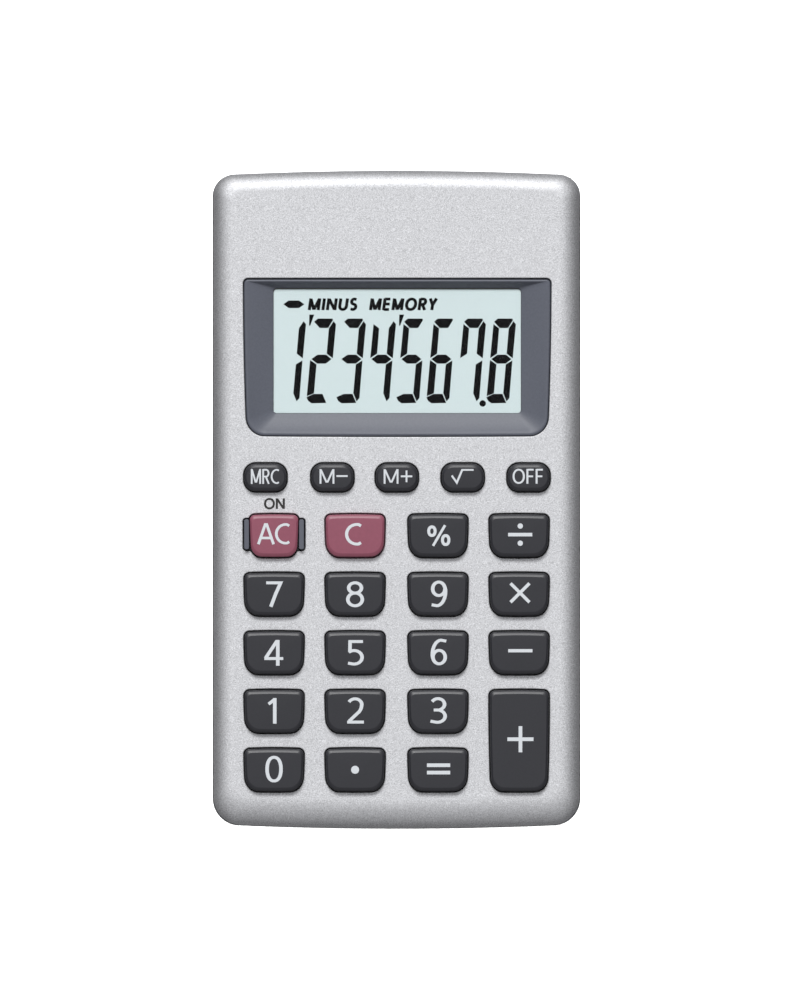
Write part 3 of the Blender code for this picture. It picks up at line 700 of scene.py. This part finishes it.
# Each letter is a width and a list of such paths, where capitals are 1 high.
STEM = [(0.06, 0.0), (0.06, 1.0)]
LETTERS = {
    "A": (0.82, [[(0.05, 0.0), (0.375, 0.95), (0.445, 0.95), (0.77, 0.0)], [(0.17, 0.30), (0.65, 0.30)]]),
    "C": (0.72, [[(0.67, 0.88)] + arc(0.50, 0.50, 0.44, 0.45, 80, 280, 28) + [(0.67, 0.12)]]),
    "E": (0.54, [STEM] + [[(0.06, y), (0.52, y)] for y in (0.05, 0.52, 0.95)]),
    "F": (0.54, [STEM, [(0.06, 0.95), (0.52, 0.95)], [(0.06, 0.50), (0.48, 0.50)]]),
    "I": (0.12, [STEM]),
    "M": (
        0.88,
        [
            [(0.08, 0.0), (0.08, 1.0)],
            [(0.80, 0.0), (0.80, 1.0)],
            [(0.10, 0.96), (0.40, 0.14), (0.48, 0.14), (0.78, 0.96)],
        ],
    ),
    "N": (0.72, [STEM, [(0.66, 0.0), (0.66, 1.0)], [(0.09, 0.95), (0.63, 0.05)]]),
    "O": (0.88, [oval(0.44, 0.50, 0.38, 0.45, 2.1)]),
    "R": (
        0.60,
        [
            STEM,
            [(0.06, 0.95), (0.30, 0.95)] + arc(0.30, 0.72, 0.22, 0.23, 90, -90) + [(0.06, 0.49)],
            [(0.28, 0.49), (0.54, 0.0)],
        ],
    ),
    "S": (
        0.52,
        [
            [(0.44, 0.90)]
            + arc(0.27, 0.735, 0.20, 0.215, 75, 240)
            + arc(0.25, 0.275, 0.21, 0.225, 62, -105)
            + [(0.06, 0.10)]
        ],
    ),
    "U": (0.66, [[(0.06, 1.0), (0.06, 0.34)] + arc(0.33, 0.34, 0.27, 0.29, 180, 360) + [(0.60, 1.0)]]),
    "Y": (0.62, [[(0.04, 1.0), (0.31, 0.45)], [(0.58, 1.0), (0.31, 0.45)], [(0.31, 0.48), (0.31, 0.0)]]),
}


# The other markings on the keys, as the arguments of word(), strokes() and circle().
WORDS = {
    "key_all_clear": ("AC", -0.04, 0.14, 5.1, 3.22, 0.43, 0.02),
    "key_clear": ("C", -0.22, 0.07, 2.62, 3.38, 0.49),
    "key_memory_recall": ("MRC", -0.05, 0.0, 4.42, 2.3, 0.27, 0.12),
    "key_memory_minus": ("M", -0.84, 0.0, 2.45, 2.26, 0.29),
    "key_memory_plus": ("M", -0.89, 0.0, 2.45, 2.26, 0.29),
    "key_off": ("OFF", -0.10, 0.02, 4.7, 2.28, 0.30),
}
PERCENT_RINGS = [oval(-0.94, 0.45, 0.49, 0.66, 2.2), oval(1.19, -0.92, 0.49, 0.69, 2.2)]
SIGNS = {
    "key_percent": (
        (PERCENT_RINGS, 0, FIGURE_RAISE, 0.46),
        ([[(-0.77, -1.82), (1.10, 1.38)]], 0, FIGURE_RAISE, 0.40),
    ),
    "key_divide": (([[(-1.71, 0.02), (2.03, 0.02)]], 0, 0, 0.54),),
    "key_multiply": (
        ([[(-1.46, -1.46), (1.46, 1.46)], [(-1.46, 1.46), (1.46, -1.46)]], 0.13, 0.08, 0.49),
    ),
    "key_minus": (([[(-1.70, 0.18), (2.06, 0.18)]], 0, 0, 0.50),),
    "key_plus": (([[(-2.02, 0), (2.02, 0)], [(0, -2.02), (0, 2.02)]], 0.2, 0.08, 0.57),),
    "key_equals": (([[(-1.71, y), (1.89, y)] for y in (0.59, -0.55)], 0, 0, 0.56),),
    "key_memory_minus": (([[(0.62, 0.06), (2.36, 0.06)]], 0, 0, 0.27),),
    "key_memory_plus": (([[(0.61, 0.02), (2.39, 0.02)], [(1.50, -0.88), (1.50, 0.92)]], 0, 0, 0.28),),
    "key_root": (([[(-1.70, 0.14), (-0.92, -0.96), (-0.08, 1.01), (1.68, 1.01)]], 0, 0, 0.32, 0.26),),
}
DOTS = {
    "key_divide": ((0.17, 1.35, 0.41), (0.17, -1.31, 0.41)),
    "key_point": ((0.0, -0.12, 0.62),),
}

# The display's segments, about the middle of a digit, and those that each digit shows
SEGMENTS = {
    "a": [(-1.02, 6.00), (-0.22, 5.11), (1.02, 5.11), (1.76, 6.29), (1.67, 6.44), (-0.51, 6.44)],
    "b": [(1.90, 5.99), (1.22, 4.95), (0.90, 1.10), (1.73, 0.46), (2.21, 5.60)],
    "c": [(1.69, -0.03), (0.73, -0.62), (0.34, -5.05), (0.82, -6.26), (1.23, -5.78)],
    "d": [(-2.23, -5.71), (-1.98, -6.21), (-1.50, -6.55), (0.68, -6.50), (0.14, -5.23), (-1.19, -5.23)],
    "e": [(-1.69, -0.03), (-2.18, -5.42), (-1.19, -5.02), (-0.81, -0.62)],
    "f": [(-1.15, 5.54), (-1.64, 0.51), (-0.71, 1.10), (-0.39, 4.95)],
    "g": [(-1.44, 0.23), (-0.65, -0.40), (0.68, -0.40), (1.47, 0.23), (0.73, 0.85), (-0.56, 0.85)],
}
SEGMENT_GROWS = dict.fromkeys("abcdefg", 0.06) | {"c": 0.03}
SHOWN = ("bc", "abged", "abgcd", "fbgc", "afgcd", "afgecd", "fabc", "abcdefg")
POINT = (13.34, 14.94, 0.5)
TICK = [(0.0, 28.70), (-0.05, 26.95), (0.16, 27.05), (0.76, 28.70)]
TICKS = (-13.50, -13.50 + 3 * DIGIT_PITCH)
BAR = [(1.62, 0), (0.80, 0.58), (-0.80, 0.58), (-1.62, 0), (-0.80, -0.58), (0.80, -0.58)]
BAR_X = -15.90
MODE_WORDS = (("MINUS", -9.84, 7.4), ("MEMORY", 1.06, 10.2))


def word(text, x, y, width, height, stroke, spacing=0.14, slant=0.0):
    """Polygons of a word that fills width by height about the point x, y."""
    advances = sum(LETTERS[letter][0] for letter in text) + spacing * (len(text) - 1)
    wide = width / advances
    polygons, start = [], 0.0
    for letter in text:
        advance, paths = LETTERS[letter]
        for path in paths:
            set_out = []
            for a, b in path:
                up = (b - 0.5) * height
                set_out.append((x - width / 2 + (start + a) * wide + slant * up, y + up))
            polygons += ribbon(set_out, stroke, stroke * 0.9)
        start += advance + spacing
    return polygons


def strokes(paths, x, y, stem, bar=None):
    polygons = []
    for path in paths:
        polygons += ribbon(shifted(path, x, y), stem, bar or stem)
    return polygons


def legend(name):
    """Polygons of the marking on one key, about the key's middle."""
    if name[-1] in FIGURES:
        return strokes(FIGURES[name[-1]], 0.0, FIGURE_RAISE, FIGURE_STEM, FIGURE_BAR)
    polygons = word(*WORDS[name]) if name in WORDS else []
    for sign in SIGNS.get(name, ()):
        polygons += strokes(*sign)
    return polygons + [circle(*dot) for dot in DOTS.get(name, ())]


# -------- keys


def key_table():
    """Name, middle, aperture size, outline and material of every key."""
    names = (
        ("key_all_clear", "key_clear", "key_percent", "key_divide"),
        ("key_7", "key_8", "key_9", "key_multiply"),
        ("key_4", "key_5", "key_6", "key_minus"),
        ("key_1", "key_2", "key_3", "key_plus"),
        ("key_0", "key_point", "key_equals"),
    )
    table = []
    for row, line in enumerate(names):
        for x, name in zip(MAIN_COLUMNS, line):
            y, height, width = ROW_ONE - row * ROW_PITCH, MAIN_HEIGHT, MAIN_WIDTH
            if name == "key_plus":
                y, height = y - ROW_PITCH / 2, height + ROW_PITCH
            if name == "key_all_clear":
                width = GUARDED_WIDTH
            slot = "red_key_plastic" if name in ("key_all_clear", "key_clear") else "key_plastic"
            table.append((name, x, y, width, height, main_key_outline, slot))
    small = ("key_memory_recall", "key_memory_minus", "key_memory_plus", "key_root", "key_off")
    for number, name in enumerate(small):
        x = SMALL_COLUMNS[number]
        table.append((name, x, SMALL_ROW, SMALL_WIDTH, SMALL_HEIGHT, small_key_outline, "key_plastic"))
    return table


def build_key(name, x, y, width, height, outline, slot):
    """A keycap with a rounded edge and a slightly crowned top, and its printed marking."""
    body, top = name + "_cap", KEY_RISE - KEY_CROWN
    wall = outline(width, height, -KEY_GAP)
    flange = outline(width, height, FLANGE_REACH)
    if name == "key_all_clear":
        flange = offset(wall, -GUARDED_FLANGE)
    rings = [at_height(flange, FLANGE_BOTTOM), at_height(flange, FLANGE_TOP), at_height(wall, FLANGE_TOP)]
    for inset, drop in KEY_EDGE:
        points = outline(width - 2 * KEY_EDGE_SIDE * inset, height - 2 * inset, -KEY_GAP)
        rings.append(at_height(points, top - drop))
    edge = rings[-1]
    for share in CROWN_STEPS:
        rings.append([(a * share, b * share, KEY_RISE - KEY_CROWN * share**2) for a, b, _ in edge])
    piece(body, Body().stack(placed(rings, x, y)), body, slot, [name])
    polygons = [shifted(polygon, x, y + LEGEND_RAISE) for polygon in legend(name)]
    marking = Body().relief(polygons, top, KEY_RISE + INK)
    piece(name + "_marking", marking, body, "white_ink")


def build_guards():
    """The two ribs beside the all-clear key, with their tops rounded over a little."""
    rib_outline = rectangle(GUARD_WIDTH, GUARD_HEIGHT / 2, -GUARD_HEIGHT / 2, 0.3, 0.3, 6, 4, 4)
    rings = [at_height(rib_outline, GUARD_FOOT)]
    rings += round_over(rib_outline, GUARD_EDGE, GUARD_RISE - GUARD_EDGE, GUARD_RISE)
    for side, name in ((-1, "key_guard_left"), (1, "key_guard_right")):
        x, y = MAIN_COLUMNS[0] + side * GUARD_OFFSET, ROW_ONE + GUARD_LIFT
        piece(name + "_rib", Body().stack(placed(rings, x, y)), "casing", "grey_plastic", [name])


# -------- case


def guarded_outline():
    """The all-clear key's aperture together with the slot for the ribs beside it."""
    key = main_key_outline(GUARDED_WIDTH, MAIN_HEIGHT)
    corner = 0.45
    reach = GUARD_OFFSET + GUARD_WIDTH / 2 + KEY_GAP - corner
    low, high = GUARD_LIFT - GUARD_HEIGHT / 2 - KEY_GAP, GUARD_LIFT + GUARD_HEIGHT / 2 + KEY_GAP
    lower = sorted(point for point in key if point[1] < low)
    upper = sorted((point for point in key if point[1] > high), reverse=True)
    right = arc(reach, low + corner, corner, corner, -90, 0, 5)
    right += arc(reach, high - corner, corner, corner, 0, 90, 5)
    left = [(-x, y) for x, y in reversed(right)]
    return shifted(lower + right + upper + left, MAIN_COLUMNS[0], ROW_ONE)


def apertures():
    outlines = [bezel_outline()]
    for name, x, y, width, height, outline, _ in key_table():
        if name == "key_all_clear":
            outlines.append(guarded_outline())
        else:
            outlines.append(shifted(outline(width, height), x, y))
    return outlines


def front_rings():
    """The front's outside, from the parting line up its walls and round its edge to the panel."""
    base = PART_LINE + GAP / 2
    rings = [at_height(case_outline(SEAM), base), at_height(case_outline(RIM), base + SEAM)]
    for drawn, risen in quarter(16):
        width = WIDTH - 2 * RIM - 2 * (EDGE_SIDE - RIM) * drawn
        top = END - BOW_TOP - EDGE_TOP * drawn
        bottom = BOW_BOTTOM - END + RIM + (EDGE_BOTTOM - RIM) * drawn
        corner_top = CORNER_TOP - CORNER_TIGHTENS_TOP * drawn
        corner_bottom = CORNER_BOTTOM - CORNER_TIGHTENS_BOTTOM * drawn
        points = rectangle(width, top, bottom, corner_top, corner_bottom, 14, 36)
        points = bowed(points, width, top, bottom, BOW_TOP, BOW_BOTTOM)
        rings.append(at_height(points, EDGE_DROP * (risen - 1)))
    rings.append(at_height(offset(rings[-1], -MARGIN), 0))
    return rings


def build_front():
    """The front half with all its openings, and the word printed over the all-clear key."""
    shell = Body()
    outside = shell.bands(front_rings())
    hollow = case_outline(WALL)
    inside = shell.bands([at_height(hollow, PART_LINE + GAP / 2), at_height(hollow, -PANEL_THICK)])
    shell.band(inside[0], outside[0])
    mouths, throats = [], []
    for outline in apertures():
        rims = [at_height(outline, -PANEL_THICK)]
        rims += round_over(outline, -APERTURE_EDGE, -APERTURE_EDGE, 0, 4)
        rims.append(at_height(offset(outline, APERTURE_EDGE + MARGIN), 0))
        made = shell.bands(rims)
        throats.append(made[0])
        mouths.append(made[-1])
    shell.region(outside[-1], mouths)
    shell.region(inside[-1], throats)
    piece("front_shell", shell, "casing", "silver_paint", ["front_case"])
    label = Body().relief(word("ON", -18.90, -0.58, 3.12, 1.62, 0.34), -INK, INK)
    piece("on_marking", label, "casing", "black_ink")


# -------- display


def build_bezel():
    """The sloped frame round the window, with a rounded lip and a slightly bent slope."""
    outer, flange = bezel_outline(BEZEL_GAP), bezel_outline(-BEZEL_FLANGE)
    window, recess = window_outline(), sheet_outline(0, 0.6, 12, 12)
    rings = [at_height(window, RECESS_TOP), at_height(recess, RECESS_TOP), at_height(recess, BEZEL_BACK)]
    rings += [at_height(flange, BEZEL_BACK), at_height(flange, FLANGE_TOP), at_height(outer, FLANGE_TOP)]
    for drawn, risen in quarter(5):
        lip = bezel_outline(BEZEL_GAP + BEZEL_LIP * drawn)
        rings.append(at_height(lip, BEZEL_TOP - BEZEL_LIP * (1 - risen)))
    lip, sill = bezel_outline(BEZEL_GAP + BEZEL_LIP + 0.05), window_outline(0.08)
    middle, half = (BEZEL_UPPER + BEZEL_LOWER) / 2, (BEZEL_UPPER - BEZEL_LOWER) / 2
    for n in range(9):
        share = n / 8
        ring = []
        for (a, b), (c, d) in zip(lip, sill):
            bend = BEZEL_BEND * (b - middle) / half
            fall = (BEZEL_TOP + BEZEL_DEPTH) * share * (1 + bend * (share - 1))
            ring.append((a + (c - a) * share, b + (d - b) * share, BEZEL_TOP - fall))
        rings.append(ring)
    rings.append(at_height(window_outline(0.02), -BEZEL_DEPTH - 0.04))
    piece("bezel_frame", Body().loop(rings), "casing", "grey_plastic", ["display_bezel"])


def build_window():
    """The clear pane, a black band on it that is painted shade where the bezel's upper edge shades the display,
    and the display's face behind it.
    """
    glazing = sheet_outline(0.2, 0.5)
    rings = [at_height(glazing, PANE_BOTTOM), at_height(glazing, PANE_TOP - 0.02)]
    rings.append(at_height(offset(glazing, -0.02), PANE_TOP))
    piece("window_pane", Body().stack(rings), "casing", "clear_plastic", ["display_window"])

    # Painted shade: a black band on the pane. Its opening is set in 0.16 mm at the top but only 0.04 to 0.05 mm at
    # the sides and bottom, so it shows as a dark line, mostly where the bezel's upper edge shades the display.
    inner = rectangle(WINDOW_WIDTH - 0.1, WINDOW_UPPER - 0.16, WINDOW_LOWER + 0.04, 0.5, 0.5, 6)
    inner, outer = shifted(inner, DISPLAY_X, 0), sheet_outline(0.3, 0.5)
    rings = [at_height(inner, PANE_TOP), at_height(inner, SHADE_BAND_TOP)]
    rings += [at_height(outer, SHADE_BAND_TOP), at_height(outer, PANE_TOP)]
    piece("painted_shade_band", Body().loop(rings), "casing", "black_ink")

    film = prism(sheet_outline(0.2, 0.3, 4), FILM_BOTTOM, FILM_TOP)
    piece("display_face", film, "casing", "display_film", ["lcd_front_film"])


def build_segments():
    """Everything that the display shows."""
    polygons = []
    for place, lit in enumerate(SHOWN):
        x = LAST_DIGIT[0] - (len(SHOWN) - 1 - place) * DIGIT_PITCH
        for letter in lit:
            polygons.append(offset(shifted(SEGMENTS[letter], x, LAST_DIGIT[1]), SEGMENT_GROWS[letter]))
    polygons.append(circle(*POINT))
    polygons += [shifted(TICK, x, 0) for x in TICKS]
    polygons.append(shifted(BAR, BAR_X, WORD_ROW))
    for text, x, width in MODE_WORDS:
        polygons += word(text, x, WORD_ROW, width, 1.80, 0.48, 0.24, 0.14)
    marks = Body().relief(polygons, FILM_TOP - INK, FILM_TOP + INK)
    piece("display_segments", marks, "casing", "segment_black")


# -------- rear half and cell


def back_z(y):
    return -DEPTH_MIDDLE - SLOPE * y


def rear_form():
    """The rear half's outer form, closed at the parting line and at the back."""
    top = PART_LINE - GAP / 2
    rings = [at_height(case_outline(SEAM), top), at_height(case_outline(), top - SEAM)]
    for drawn, risen in quarter(8):
        lift = BACK_EDGE * (1 - risen)
        rings.append([(x, y, back_z(y) + lift) for x, y in case_outline(BACK_EDGE * drawn)])
    return Body().stack(rings)


def post(x, y, radius, low, high):
    return prism(circle(x, y, radius, 40), low, high)


def block(x, y, z, ground=False):
    """A box. With ground, its y and z are given in the row frame, in which the case lies on its back."""
    corners = [(x[0], y[0]), (x[1], y[0]), (x[1], y[1]), (x[0], y[1])]
    rings = [at_height(corners, z[0]), at_height(corners, z[1])]
    return Body().stack(grounded(rings) if ground else rings)


def rib(y, high):
    """A wall standing across the rear case."""
    half = WIDTH / 2 - WALL / 2
    return block((-half, half), y, (back_z(y[0]) + FLOOR / 2, high))


def screw_cuts(x, y):
    """What one case screw takes out of the rear half: its well, its hole and the seat for the boss."""
    return [
        post(x, y, WELL_RADIUS, back_z(y) - 2, WELL_TOP),
        post(x, y, PILOT_RADIUS, PART_LINE - 3, PART_LINE + 1),
        post(x, y, BOSS_SEAT_RADIUS, PART_LINE + INK, PART_LINE + 2),
    ]


def battery_bay():
    """The space for the cell, with a notch in its wall for each contact's lead."""
    width, end = WIDTH - 2 * WALL, END - WALL - BOW_TOP
    space = bowed(
        rectangle(width, end, BAY_WALL[1], 1.6, 0.5, 8, 12), width, end, BAY_WALL[1], BOW_TOP, 0
    )
    rows, heights = (BAY_WALL[0] - 1, BAY_WALL[1] + 0.3), (BAY_HEIGHTS[0] + 0.1, BAY_HEIGHTS[1])
    notches = [block((x - NOTCH_HALF, x + NOTCH_HALF), rows, heights) for x in NOTCHES]
    return [prism(space, *BAY_HEIGHTS), *notches]


def cover_opening():
    """The gap that the battery cover closes, and the grooves for its rails."""
    side = COVER_HALF + GAP
    groove = side + RAIL_WIDTH
    opening = block((-side, side), (COVER_START - GAP, PAST_END), (-1, COVER_HEIGHTS[1] + GAP), True)
    return [opening, block((-groove, groove), (COVER_START + 1, PAST_END), RAIL_GROOVE, True)]


def build_rear():
    inner = case_outline(WALL)
    floor = [(x, y, back_z(y) + FLOOR) for x, y in inner]
    hollow = Body().stack([floor, at_height(inner, PART_LINE + 1)])
    lip = Body().loop([at_height(case_outline(inset), z) for inset, z in LIP])
    half = RIB_THICK / 2
    walls = [rib((y - half, y + half), RIB_TOP) for y in RIB_ROWS]
    walls.append(rib(BAY_WALL, PART_LINE - GAP / 2))
    posts = [post(x, y, POST_RADIUS, back_z(y) + FLOOR / 2, PART_LINE) for x, y in CASE_SCREWS]
    steps = [("DIFFERENCE", hollow)]
    steps += [("UNION", body) for body in (lip, *walls, *posts)]
    steps += [("DIFFERENCE", cut) for x, y in CASE_SCREWS for cut in screw_cuts(x, y)]
    steps += [("DIFFERENCE", cut) for cut in battery_bay() + cover_opening()]
    shell = carved(rear_form(), steps)
    piece("rear_shell", shell, "casing", "charcoal_plastic", ["rear_case"])


def build_cover():
    """The battery cover, with finger grips and an arrow sunk into it that shows which way it slides."""
    plate = block((-COVER_HALF, COVER_HALF), (COVER_START, PAST_END), COVER_HEIGHTS, True)
    steps = [("INTERSECT", rear_form())]
    for side in (-1, 1):
        x = sorted((side * (COVER_HALF - 0.5), side * (COVER_HALF + RAIL_WIDTH)))
        steps.append(("UNION", block(x, RAIL_ROWS, RAIL_HEIGHTS, True)))
    for y in GRIP_ROWS:
        ring = [(y + GRIP_RADIUS * math.cos(a), GRIP_RADIUS * math.sin(a)) for a in turns(16)]
        rings = [[(x, *point) for point in ring] for x in (-GRIP_HALF, GRIP_HALF)]
        steps.append(("DIFFERENCE", Body().stack(grounded(rings))))
    rings = [at_height(ARROW, z) for z in (-1, ARROW_SUNK)]
    steps.append(("DIFFERENCE", Body().stack(grounded(rings))))
    piece("cover_plate", carved(plate, steps), "cover", "charcoal_plastic", ["battery_cover"])


def turned(profile, sides):
    """Rings about the cell's axis, from (x, radius) pairs."""
    return [
        [(x, CELL_Y + radius * math.cos(a), CELL_Z + radius * math.sin(a)) for a in turns(sides)]
        for x, radius in profile
    ]


def build_cell():
    """The cell: a metal can and its printed sleeve."""
    can = Body().stack(turned(CELL_CAN, 48))
    piece("cell_can", can, "casing", "nickel", ["cell"])
    edge = 0.05
    for name, left, right, ink in CELL_SLEEVES:
        profile = (
            (left, SLEEVE_BORE), (left, SLEEVE_RADIUS - edge), (left + edge, SLEEVE_RADIUS),
            (right - edge, SLEEVE_RADIUS), (right, SLEEVE_RADIUS - edge), (right, SLEEVE_BORE),
        )
        piece(name, Body().loop(turned(profile, 64)), "casing", ink)


def build_spring():
    """The cone-shaped coil of round wire that presses on the cell's flat end."""
    count = int(COIL_TURNS * 28)
    rings = []
    for n in range(count + 1):
        share = n / count
        angle = 2 * math.pi * COIL_TURNS * share
        radius = COIL_RADII[0] + (COIL_RADII[1] - COIL_RADII[0]) * share
        outward = Vector((0, math.cos(angle), math.sin(angle)))
        x = COIL_ENDS[0] + (COIL_ENDS[1] - COIL_ENDS[0]) * share
        centre = Vector((x, CELL_Y, CELL_Z)) + outward * radius
        spokes = [math.cos(a) * outward + math.sin(a) * across for a in turns(12)]
        rings.append([centre + COIL_WIRE * spoke for spoke in spokes])
    piece("contact_coil", Body().stack(rings), "casing", "nickel", sharp=60)


def build_screws():
    """The case screws' heads, with cross recesses, at the bottom of their wells."""
    profile = [(SCREW_SHANK, SCREW_TIP), (SCREW_SHANK, SCREW_SEAT)]
    profile += [(SCREW_HEAD_RADIUS - inset, SCREW_SEAT - drop) for inset, drop in SCREW_HEAD]
    arm, half = SCREW_CROSS
    deep = (SCREW_SEAT - 2, SCREW_SEAT - SCREW_HEAD[1][1])
    for number, (x, y) in enumerate(CASE_SCREWS, 1):
        head = Body().stack([at_height(circle(x, y, radius, 40), z) for radius, z in profile])
        cross = (
            block((x - arm, x + arm), (y - half, y + half), deep),
            block((x - half, x + half), (y - arm, y + arm), deep),
        )
        shape = carved(head, [("DIFFERENCE", tool) for tool in cross])
        name = f"case_screw_{number}"
        piece(name + "_head", shape, "casing", "screw_steel", [name])


# -------- inside


def build_keypad():
    """The rubber sheet and its domes, which give way under the keys."""
    sheet = prism(rectangle(49.4, SMALL_ROW + 3.2, -45.4, 2.0, 4.0, 6), SHEET_BOTTOM, SHEET_TOP)
    piece("keypad_sheet", sheet, "casing", "keypad_rubber", ["rubber_keypad"])
    for name, x, y, width, height, _, _ in key_table():
        radius = 0.42 * min(width, height)
        rings = [at_height(circle(x, y, radius * share), SHEET_TOP + rise) for share, rise in DOME]
        made = piece(name + "_dome", Body().stack(rings), "casing", "keypad_rubber")
        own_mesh(made)


def dress_nodes():
    """Gives every CAD node that still shows its own material."""
    for entry in frame["record"]["subparts"]:
        node = frame["nodes"][entry["node"]]
        node.data.materials.clear()
        node.data.materials.append(looks[entry["material_slot"]])


# -------- stage


def build_stage():
    """A pale floor that the camera sees, and that lights nothing."""
    mesh = bpy.data.meshes.new("floor")
    reach = FLOOR_REACH * MM
    corners = [(-reach, -reach), (reach, -reach), (reach, reach), (-reach, reach)]
    mesh.from_pydata(at_height(corners, -FLOOR_DROP * MM), [], [(0, 1, 2, 3)])
    floor = new_object("floor", mesh)
    pale, _, _ = new_material(
        "pale_floor", Base_Color=(0.93, 0.93, 0.93, 1.0), Roughness=0.8, Specular_IOR_Level=0.2
    )
    mesh.materials.append(pale)
    floor.visible_diffuse = False
    floor.visible_glossy = False
    floor.visible_transmission = False
    return floor


def softbox(name, lean, turn, distance, width, height, power):
    """A rectangular lamp, in metres and watts. It leans from the panel's normal towards the panel's
    top and turns across it, in degrees."""
    light = bpy.data.lights.new(name, "AREA")
    light.shape = "RECTANGLE"
    light.size, light.size_y = width, height
    light.energy = power
    lamp = new_object(name, light)
    a, b = math.radians(lean), math.radians(turn)
    direction = normal * math.cos(a) * math.cos(b) + upwards * math.sin(a) + across * math.sin(b)
    lamp.location = PANEL.translation + direction.normalized() * distance
    lamp.rotation_mode = "QUATERNION"
    lamp.rotation_quaternion = (-direction).to_track_quat("-Z", "Y")
    return lamp


def build_lamps(floor):
    """The key light, and a lamp that lights nothing but the floor."""
    softbox("key_light", lean=40, turn=-5, distance=6.0, width=3.2, height=1.68, power=312.0)
    backdrop = softbox("backdrop_light", lean=0, turn=0, distance=1.5, width=1.5, height=1.5, power=42.0)
    backdrop.visible_glossy = False
    backdrop.visible_transmission = False
    only_floor = bpy.data.collections.new("backdrop_only")
    only_floor.objects.link(floor)
    backdrop.light_linking.receiver_collection = only_floor
    backdrop.light_linking.blocker_collection = only_floor


def build_world():
    """A sky that is bright overhead and dim at the horizon, with dark flags at both sides."""
    world = bpy.data.worlds.new("studio")
    bpy.context.scene.world = world
    world.use_nodes = True
    tree = world.node_tree
    link, background = tree.links.new, tree.nodes["Background"]
    parts = add_node(tree, "SeparateXYZ")
    link(add_node(tree, "TexCoord").outputs["Generated"], parts.inputs["Vector"])
    height = add_node(tree, "MapRange", From_Min=-1.0)
    link(parts.outputs["Z"], height.inputs["Value"])
    ramp = add_node(tree, "ValToRGB")
    elements = ramp.color_ramp.elements
    while len(elements) < len(WORLD_STEPS):
        elements.new(0.5)
    for element, (place, level) in zip(elements, WORLD_STEPS):
        element.position = place
        element.color = (level, level, level * 1.02, 1.0)
    link(height.outputs["Result"], ramp.inputs["Fac"])
    link(ramp.outputs["Color"], background.inputs["Color"])
    square = add_node(tree, "Math", "MULTIPLY")
    link(parts.outputs["X"], square.inputs[0])
    link(parts.outputs["X"], square.inputs[1])
    flags = add_node(tree, "MapRange", To_Min=1.0, To_Max=SIDE_LEVEL)
    link(square.outputs["Value"], flags.inputs["Value"])
    link(flags.outputs["Result"], background.inputs["Strength"])


def build_camera():
    """A long lens that looks straight down on the panel."""
    camera = bpy.data.cameras.new("camera")
    camera.lens = LENS
    camera.sensor_width = SENSOR
    camera.clip_end = 10.0
    obj = new_object("camera", camera)
    place = PANEL @ (Vector(VIEW_MIDDLE) * MM) + normal * (VIEW_HEIGHT * MM * LENS / SENSOR)
    obj.matrix_world = Matrix.Translation(place) @ PANEL.to_3x3().to_4x4()
    bpy.context.scene.camera = obj


def main():
    make_materials()
    dress_nodes()
    build_front()
    build_bezel()
    build_window()
    build_segments()
    for row in key_table():
        build_key(*row)
    build_guards()
    build_keypad()
    build_rear()
    build_cover()
    build_cell()
    build_spring()
    build_screws()
    build_lamps(build_stage())
    build_world()
    build_camera()
    bpy.context.scene.view_settings.view_transform = "Standard"


main()
